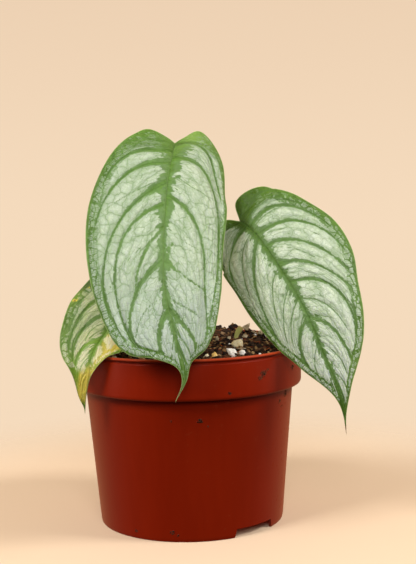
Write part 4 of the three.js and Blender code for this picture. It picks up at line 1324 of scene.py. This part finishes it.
def build_soil(material):
    ledge = POT_HEIGHT - BAND_HEIGHT + WALL + GAP
    floor = FLOOR_LIFT + WALL + GAP
    side = [
        (BUTTON_RADIUS - WALL - GAP, WALL + GAP), (BUTTON_RADIUS + 2 - GAP, floor),
        (FOOT_RADIUS + POT_SLOPE * floor - WALL - 1 - GAP, floor),
        (FOOT_RADIUS + POT_SLOPE * (floor + 1) - WALL - GAP, floor + 1), (BODY_RADIUS - WALL - GAP, ledge),
        (SOIL_RADIUS - 0.4, ledge), (SOIL_RADIUS, ledge + 0.6),
    ]
    angle = np.linspace(0, 2 * np.pi, SOIL_SEGMENTS, endpoint=False)
    points = [np.array([[0, 0, WALL + GAP]])]
    for r, z in side:
        points.append(np.stack([r * np.cos(angle), r * np.sin(angle), np.full(SOIL_SEGMENTS, z)], -1))
    for k in range(SOIL_RINGS, 0, -1):
        r = SOIL_RADIUS * k / SOIL_RINGS
        x, y = r * np.cos(angle), r * np.sin(angle)
        points.append(np.stack([x, y, keep_holes(x, y, soil_height(x, y, 1.0))], -1))
    points.append(np.array([[0, 0, float(soil_height(np.zeros(1), np.zeros(1), 1.0)[0])]]))
    rings = len(side) + SOIL_RINGS
    n = SOIL_SEGMENTS
    top_ring = 1 + (rings - 1) * n
    faces = []
    for i in range(n):
        j = (i + 1) % n
        faces.append((0, 1 + j, 1 + i))
        faces += [(low + i, low + j, low + n + j, low + n + i) for low in range(1, top_ring, n)]
        faces.append((top_ring + i, top_ring + j, top_ring + n))
    return make_object("soil_bed", make_mesh("soil_bed", np.vstack(points), faces), material)


def soil_skin():
    """A plain sheet on the soil's surface, which carries the loose matter and is then removed."""
    half_size, step = 56, 2.0
    ticks = np.arange(-half_size, half_size + step, step)
    x, y = np.meshgrid(ticks, ticks, indexing="ij")
    z = soil_height(x, y, 0.6)
    count = len(ticks)
    index = np.arange(count * count).reshape(count, count)
    allowed = np.hypot(x, y) < SOIL_RADIUS - 1.5
    for (fx, fy, _), radius in ((STEM_FOOT, 4.5), (STUB_FOOT, 3)):
        allowed &= np.hypot(x - fx, y - fy) > radius
    squares = np.stack([index[:-1, :-1], index[1:, :-1], index[1:, 1:], index[:-1, 1:]], -1).reshape(-1, 4)
    faces = squares[allowed.ravel()[squares].all(axis=1)].tolist()
    points = np.stack([x.ravel(), y.ravel(), z.ravel()], -1)
    return make_mesh("soil_skin", points, faces)


class Recipe:
    """A geometry node tree that strews copies of a shape over a surface, with its named inputs."""

    INPUTS = {"Density": "Float", "Smallest": "Float", "Largest": "Float", "Seed": "Int",
              "Material": "Material"}

    def __init__(self, name):
        self.tree = bpy.data.node_groups.new(name, "GeometryNodeTree")
        face = self.tree.interface
        face.new_socket("Geometry", in_out="INPUT", socket_type="NodeSocketGeometry")
        self.sockets = {key: face.new_socket(key, in_out="INPUT", socket_type="NodeSocket" + kind)
                        for key, kind in self.INPUTS.items()}
        face.new_socket("Geometry", in_out="OUTPUT", socket_type="NodeSocketGeometry")
        self.given = self.tree.nodes.new("NodeGroupInput")

    def node(self, kind, settings=None, inputs=None):
        made = self.tree.nodes.new(kind)
        for key, value in (settings or {}).items():
            setattr(made, key, value)
        for key, value in (inputs or {}).items():
            if isinstance(value, bpy.types.NodeSocket):
                self.tree.links.new(value, made.inputs[key])
            else:
                made.inputs[key].default_value = value
        return made

    def random(self, low, high, seed):
        made = self.node("FunctionNodeRandomValue", {"data_type": "FLOAT_VECTOR"},
                         {0: low, 1: high, "Seed": seed})
        return made.outputs[0]

    def random_number(self, low, high, seed):
        made = self.node("FunctionNodeRandomValue", {"data_type": "FLOAT"},
                         {2: low, 3: high, "Seed": seed})
        return made.outputs[1]

    def strew(self, shape, tilt, flat, long, seed):
        """Copies of the shape over the given surface, each turned, stretched and tinted in its own way."""
        spread = self.node("GeometryNodeDistributePointsOnFaces", {"distribute_method": "RANDOM"}, {
            "Mesh": self.given.outputs["Geometry"], "Density": self.given.outputs["Density"],
            "Seed": self.given.outputs["Seed"]})
        turn = self.node("FunctionNodeEulerToRotation", {}, {
            0: self.random((-tilt, -tilt, 0), (tilt, tilt, 2 * math.pi), seed)})
        stretch = self.random((0.6, 0.6, flat[0]), (long, 1.1, flat[1]), seed + 1)
        size = self.random_number(self.given.outputs["Smallest"], self.given.outputs["Largest"], seed + 2)
        scale = self.node("ShaderNodeVectorMath", {"operation": "SCALE"}, {0: stretch, "Scale": size})
        placed = self.node("GeometryNodeInstanceOnPoints", {}, {
            "Points": spread.outputs["Points"], "Instance": shape, "Rotation": turn.outputs[0],
            "Scale": scale.outputs[0]})
        tinted = self.node("GeometryNodeStoreNamedAttribute", {"data_type": "FLOAT", "domain": "INSTANCE"}, {
            "Geometry": placed.outputs[0], "Name": "tint", "Value": self.random_number(0.0, 1.0, seed + 3)})
        return tinted.outputs[0]

    def close(self, geometry):
        whole = self.node("GeometryNodeRealizeInstances", {}, {"Geometry": geometry})
        painted = self.node("GeometryNodeSetMaterial", {}, {
            "Geometry": whole.outputs[0], "Material": self.given.outputs["Material"]})
        self.node("NodeGroupOutput", {}, {0: painted.outputs[0]})


def chip_tree(name, seed, ragged, tilt, flat, long):
    """Loose bits: a ball of few faces pushed out of shape, strewn over a surface."""
    recipe = Recipe(name)
    ball = recipe.node("GeometryNodeMeshIcoSphere", {}, {"Radius": 1.0, "Subdivisions": 2})
    ripple = recipe.node("ShaderNodeTexNoise", {"noise_dimensions": "3D"}, {
        "Vector": recipe.node("GeometryNodeInputPosition").outputs[0],
        "Scale": 1.3 + 0.1 * seed, "Detail": 2.0})
    centred = recipe.node("ShaderNodeVectorMath", {"operation": "SUBTRACT"},
                          {0: ripple.outputs[1], 1: (0.5, 0.5, 0.5)})
    push = recipe.node("ShaderNodeVectorMath", {"operation": "SCALE"},
                       {0: centred.outputs[0], "Scale": ragged})
    rough = recipe.node("GeometryNodeSetPosition", {},
                        {"Geometry": ball.outputs[0], "Offset": push.outputs[0]})
    recipe.close(recipe.strew(rough.outputs[0], tilt, flat, long, seed))
    return recipe


def fibre_tree(name, seed):
    """Thin bent root fibres that lie on a surface."""
    recipe = Recipe(name)
    curve = recipe.node("GeometryNodeCurvePrimitiveBezierSegment", {}, {
        "Resolution": 7, "Start": (-1, -0.25, -0.02), "Start Handle": (-0.3, 0.7, 0.3),
        "End Handle": (0.35, -0.75, 0.1), "End": (1, 0.35, -0.05)})
    ring = recipe.node("GeometryNodeCurvePrimitiveCircle", {}, {"Resolution": 4, "Radius": 0.035})
    solid = recipe.node("GeometryNodeCurveToMesh", {}, {
        "Curve": curve.outputs[0], "Profile Curve": ring.outputs[0], "Fill Caps": True})
    recipe.close(recipe.strew(solid.outputs[0], 0.5, (0.4, 1.0), 1.0, seed))
    return recipe


def strewn(name, recipe, material, density, smallest, largest, seed):
    """Runs a tree on the soil's skin and keeps the result as a plain mesh; the sizes are in millimetres."""
    obj = make_object(name, soil_skin())
    modifier = obj.modifiers.new("strewn", "NODES")
    modifier.node_group = recipe.tree
    for key, value in zip(Recipe.INPUTS, (density, smallest * MM, largest * MM, seed, material)):
        modifier[recipe.sockets[key].identifier] = value
    mesh = evaluated(obj)
    mesh.polygons.foreach_set("use_smooth", [False] * len(mesh.polygons))
    return obj


def build_loose_matter():
    brown = [(0.0, srgb(14, 7, 5)), (0.4, srgb(42, 25, 16)), (0.75, srgb(96, 66, 40)),
             (1.0, srgb(180, 146, 98))]
    bark = [(0.0, srgb(36, 22, 15)), (0.5, srgb(100, 70, 46)), (0.8, srgb(168, 138, 104)),
            (1.0, srgb(216, 196, 166))]
    pale = [(0.0, srgb(196, 186, 172)), (0.5, srgb(226, 222, 214)), (1.0, srgb(246, 244, 240))]
    red = [(0.0, srgb(84, 30, 12)), (0.5, srgb(172, 72, 28)), (1.0, srgb(216, 132, 66))]

    crumbs = chip_tree("crumbs", 3, 0.9, 3.1, (0.6, 1.0), 1.3)
    chips = chip_tree("bark", 7, 0.8, 0.5, (0.15, 0.4), 2.2)
    perlite = chip_tree("perlite", 11, 0.7, 3.1, (0.7, 1.0), 1.1)
    fibres = fibre_tree("fibres", 15)

    # Name, tree, colours, roughness, number to the square metre, smallest and largest size, seed
    kinds = [
        ("soil_crumbs", crumbs, brown, 0.95, 180000.0, 0.45, 1.5, 5),
        ("bark_chips", chips, bark, 0.9, 20000.0, 0.9, 2.6, 9),
        ("perlite_bits", perlite, pale, 0.85, 5200.0, 0.35, 1.15, 21),
        ("root_fibres", fibres, red, 0.8, 46000.0, 1.6, 4.6, 4),
    ]
    return [strewn(name, tree, crumb(name, stops, roughness), *numbers)
            for name, tree, stops, roughness, *numbers in kinds]


def stone(name, x, y, lift, outline, depth):
    """The points of a broken grain that leans back, from its outline as seen from the front."""
    random = np.random.default_rng(len(name) * 100 + int(abs(x) * 10))
    ring = np.array(outline, float)
    points = []
    for y_share, size in ((-1, 0.45), (-0.6, 0.85), (0, 1), (0.6, 0.8), (1, 0.4)):
        spread = ring * size + random.uniform(-0.12, 0.12, ring.shape) * depth
        points.append(np.stack([spread[:, 0], np.full(len(ring), y_share * depth), spread[:, 1]], -1))
    height = float(soil_height(np.array([x]), np.array([y]))[0]) + lift
    cloud = np.vstack(points) + random.uniform(-0.08, 0.08, (5 * len(ring), 3)) * depth
    cloud[:, 1] += 0.5 * cloud[:, 2]
    return cloud + np.array([x, y, height])


def hull(name, points, material):
    """The solid round a cloud of points."""
    shape = bmesh.new()
    for point in points:
        shape.verts.new(point * MM)
    result = bmesh.ops.convex_hull(shape, input=shape.verts)
    loose = [v for v in result["geom_interior"] if isinstance(v, bmesh.types.BMVert)]
    bmesh.ops.delete(shape, geom=loose, context="VERTS")
    bmesh.ops.recalc_face_normals(shape, faces=shape.faces)
    mesh = bpy.data.meshes.new(name)
    shape.to_mesh(mesh)
    shape.free()
    return make_object(name, mesh, material)


# Name, place, height above the soil, depth, kind and outline from the front
GRAINS = [
    ("stone_tan", 25, -19, 1.7, 1.9, "tan",
     [(-3.4, -0.1), (-1.6, 1.4), (0.2, 2.1), (1.9, 2.3), (2.9, 1.3), (3.1, -0.6), (2.2, -2.3), (0.7, -2.7),
      (-1.9, -1.6)]),
    ("perlite_a", 21.4, -44, 1.7, 1.9, "white",
     [(-2.7, 2.4), (-0.6, 1.9), (1.3, 1.5), (2.8, -0.2), (2.1, -1.8), (0, -2.7), (-1.0, -2.2), (-1.9, 0)]),
    ("perlite_b", 26.6, -43.5, 0.6, 1.3, "white",
     [(-1.7, 0.5), (-0.5, 1.6), (1.0, 1.3), (1.7, -0.3), (1.4, -1.5), (-0.5, -1.6), (-1.5, -0.6)]),
    ("stone_ochre", 12.7, -46, 1.6, 1.2, "ochre",
     [(-1.5, -0.7), (-1.3, 0.8), (0.3, 1.6), (1.1, 0.8), (1.6, -0.5), (1.0, -1.6), (-0.5, -1.6)]),
    ("stone_small", 8.2, -46, 0.5, 1.0, "tan",
     [(-1.6, -0.9), (-0.4, 0.3), (1.2, 1.0), (1.7, 0.1), (0.6, -1.0)]),
    ("flake_grey", 30.2, 2, 2.0, 1.0, "grey",
     [(-1.6, -0.5), (-0.8, 0.8), (0.8, 0.9), (1.7, 0), (1.0, -0.9), (-0.5, -0.9)]),
    ("bark_on_edge", 32.4, 30, 5.0, 0.6, "grey",
     [(-2.4, -0.4), (-0.9, 0.6), (1.1, 1.4), (2.3, 1.9), (2.0, 0), (0.8, -2.2), (-1.0, -1.9)]),
    ("grain_right", 38.5, 3, 1.2, 1.2, "grey",
     [(-1.6, -0.6), (-1.0, 1.0), (0.6, 1.3), (1.7, 0.2), (0.9, -1.1)]),
    ("chip_left", 15.3, -2, 1.4, 0.8, "grey",
     [(-0.9, -1.2), (-0.7, 1.0), (0.4, 1.3), (1.0, -0.2), (0.3, -1.5)]),
    ("chip_middle", 21.6, 0, 1.0, 0.8, "grey",
     [(-1.1, -0.5), (-0.5, 0.8), (0.9, 0.9), (1.1, -0.4), (0, -0.9)]),
    ("grain_left", -37, -42, 0.5, 1.0, "white",
     [(-1.4, -0.5), (-0.6, 0.9), (1.0, 0.8), (1.5, -0.4), (0, -1.0)]),
    ("grain_front", 35.2, -42.5, 0.6, 0.7, "white",
     [(-0.8, -0.4), (-0.3, 0.7), (0.6, 0.6), (0.9, -0.5)]),
]


def build_grains():
    """The larger grains, at the places where they lie."""
    minerals = {
        "tan": mineral("tan_stone", srgb(255, 244, 212), srgb(246, 224, 170), srgb(206, 172, 110)),
        "white": mineral("perlite_white", srgb(252, 248, 240), srgb(244, 236, 226), srgb(214, 190, 168)),
        "ochre": mineral("ochre_stone", srgb(246, 206, 120), srgb(232, 186, 100), srgb(244, 234, 214)),
        "grey": mineral("grey_flake", srgb(206, 190, 160), srgb(178, 160, 128), srgb(130, 108, 80)),
    }
    return [hull(name, stone(name, x, y, lift, outline, depth), minerals[kind])
            for name, x, y, lift, depth, kind, outline in GRAINS]


# Camera, light and floor

CAMERA_PLACE = (0, -0.57924, 0.17291)
CAMERA_TURN = (1.0994, -4.7022, -1.2616)       # yaw, pitch and roll in degrees
CAMERA_LENS = 69.93
DAYLIGHT = (1.0, 0.985, 0.96)

# Name, place, aim, width, height, power and colour
LAMPS = [
    ("left_key", (-0.78, -0.66, 1.05), (0, -0.02, 0.09), 0.42, 0.42, 11.3, DAYLIGHT),
    ("right_key", (1.06, -0.34, 1.1), (0, -0.02, 0.09), 0.42, 0.42, 12.0, DAYLIGHT),
    ("front_fill", (0.1, -1.2, 0.72), (0, 0, 0.1), 0.5, 0.5, 6.6, DAYLIGHT),
    ("left_bounce", (-1.2, -0.2, 0.3), (0, 0, 0.07), 0.4, 0.8, 2.4, (1.0, 0.9, 0.76)),
    ("right_bounce", (1.2, -0.1, 0.25), (0, 0, 0.07), 0.4, 0.8, 1.6, (1.0, 0.8, 0.58)),
]
FLOOR_RADIUS = 1200.0
FLOOR_SIDES = 64
FLOOR_GAP = 0.05


def place_camera():
    data = bpy.data.cameras.new("camera")
    data.sensor_width = 36.0
    data.lens = CAMERA_LENS
    data.clip_end = 50
    camera = bpy.data.objects.new("camera", data)
    yaw, pitch, roll = (math.radians(v) for v in CAMERA_TURN)
    camera.matrix_world = (Matrix.Translation(CAMERA_PLACE) @ Matrix.Rotation(-yaw, 4, "Z")
                           @ Matrix.Rotation(math.pi / 2 + pitch, 4, "X") @ Matrix.Rotation(roll, 4, "Z"))
    bpy.context.scene.collection.objects.link(camera)
    bpy.context.scene.camera = camera


def softbox(name, place, aim, width, height, power, colour):
    data = bpy.data.lights.new(name, "AREA")
    data.shape = "RECTANGLE"
    data.size, data.size_y = width, height
    data.energy = power
    data.color = colour
    lamp = bpy.data.objects.new(name, data)
    way = Vector(aim) - Vector(place)
    lamp.matrix_world = Matrix.Translation(place) @ way.to_track_quat("-Z", "Y").to_matrix().to_4x4()
    bpy.context.scene.collection.objects.link(lamp)


def light_studio():
    """Two soft keys, a weak fill, warm light from the sides, and a cream room, bright behind the pot."""
    for lamp in LAMPS:
        softbox(*lamp)
    room = Studio("studio")
    way = room.node("SeparateXYZ", {}, {0: room.node("TexCoord").outputs["Generated"]})
    aside, behind, above = (Wire(room, way.outputs[i]) for i in range(3))
    backdrop = room.blend(room.fade(above, -0.06, 0.24), srgb(245, 219, 189), srgb(236, 208, 178))
    seen = room.node("Background", {}, {"Color": backdrop, "Strength": 1.0})
    wall = room.fade(behind, -0.2, 0.7)
    strength = 0.04 + 0.42 * wall + 0.2 * room.fade(above, 0.0, 0.8) + 0.1 * room.fade(abs(aside), 0.5, 1.0)
    tone = room.blend(wall, (1.0, 0.92, 0.82, 1), (1.0, 0.68, 0.4, 1))
    lit = room.node("Background", {}, {"Color": tone, "Strength": strength})
    camera_ray = room.node("LightPath").outputs["Is Camera Ray"]
    both = room.node("MixShader", {}, {0: camera_ray, 1: lit.outputs[0], 2: seen.outputs[0]})
    room.node("OutputWorld", {}, {"Surface": both.outputs[0]})
    view = bpy.context.scene.view_settings
    view.view_transform = "Standard"
    view.look = "None"


def lay_floor():
    """A pale floor that fades into the backdrop well away from the pot."""
    p = Paint("studio_floor")
    place = p.place()
    split = p.node("SeparateXYZ", {}, {0: place})
    x, y = Wire(p, split.outputs[0]), Wire(p, split.outputs[1])
    far = p.math("SQRT", x * x + y * y)
    shader = p.node("BsdfPrincipled", {},
                    {"Base Color": srgb(238, 212, 182), "Roughness": 0.7, "Specular IOR Level": 0.2})
    clear = p.node("BsdfTransparent")
    both = p.node("MixShader", {}, {0: p.fade(far, 0.12, 0.3), 1: shader.outputs[0], 2: clear.outputs[0]})
    p.node("OutputMaterial", {}, {"Surface": both.outputs[0]})
    angles = np.linspace(0, 2 * math.pi, FLOOR_SIDES + 1)[:-1]
    points = [(FLOOR_RADIUS * math.cos(a), FLOOR_RADIUS * math.sin(a), -FLOOR_GAP) for a in angles]
    mesh = make_mesh("studio_floor", points, [tuple(range(FLOOR_SIDES))], False)
    floor = make_object("studio_floor", mesh, p.material)
    floor.visible_diffuse = False
    floor.visible_glossy = False


def ride(pieces, slot, *nodes):
    """Puts the pieces on the body; the slot is not used. The first of them replaces the nodes."""
    for piece in pieces:
        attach(piece, "root")
    if nodes:
        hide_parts(*nodes)


def main():
    place_camera()
    light_studio()
    lay_floor()
    ride([build_pot()], "pot_plastic", "pot")
    soil = build_soil(peat())
    ride([soil, *build_loose_matter(), *build_grains()], "soil", "soil")
    ride([build_stem(stem_bark())], "stem", "stem")
    ride([build_stub(stub_skin())], "stem", "stalk_stub")
    skin = stalk_green()
    for name in STALKS:
        ride([build_stalk(name, skin)], "stalk", "stalk_" + name)
    for name in LEAVES:
        ride([build_leaf(name)], "old_leaf" if name == "left" else "leaf", "leaf_" + name)


main()
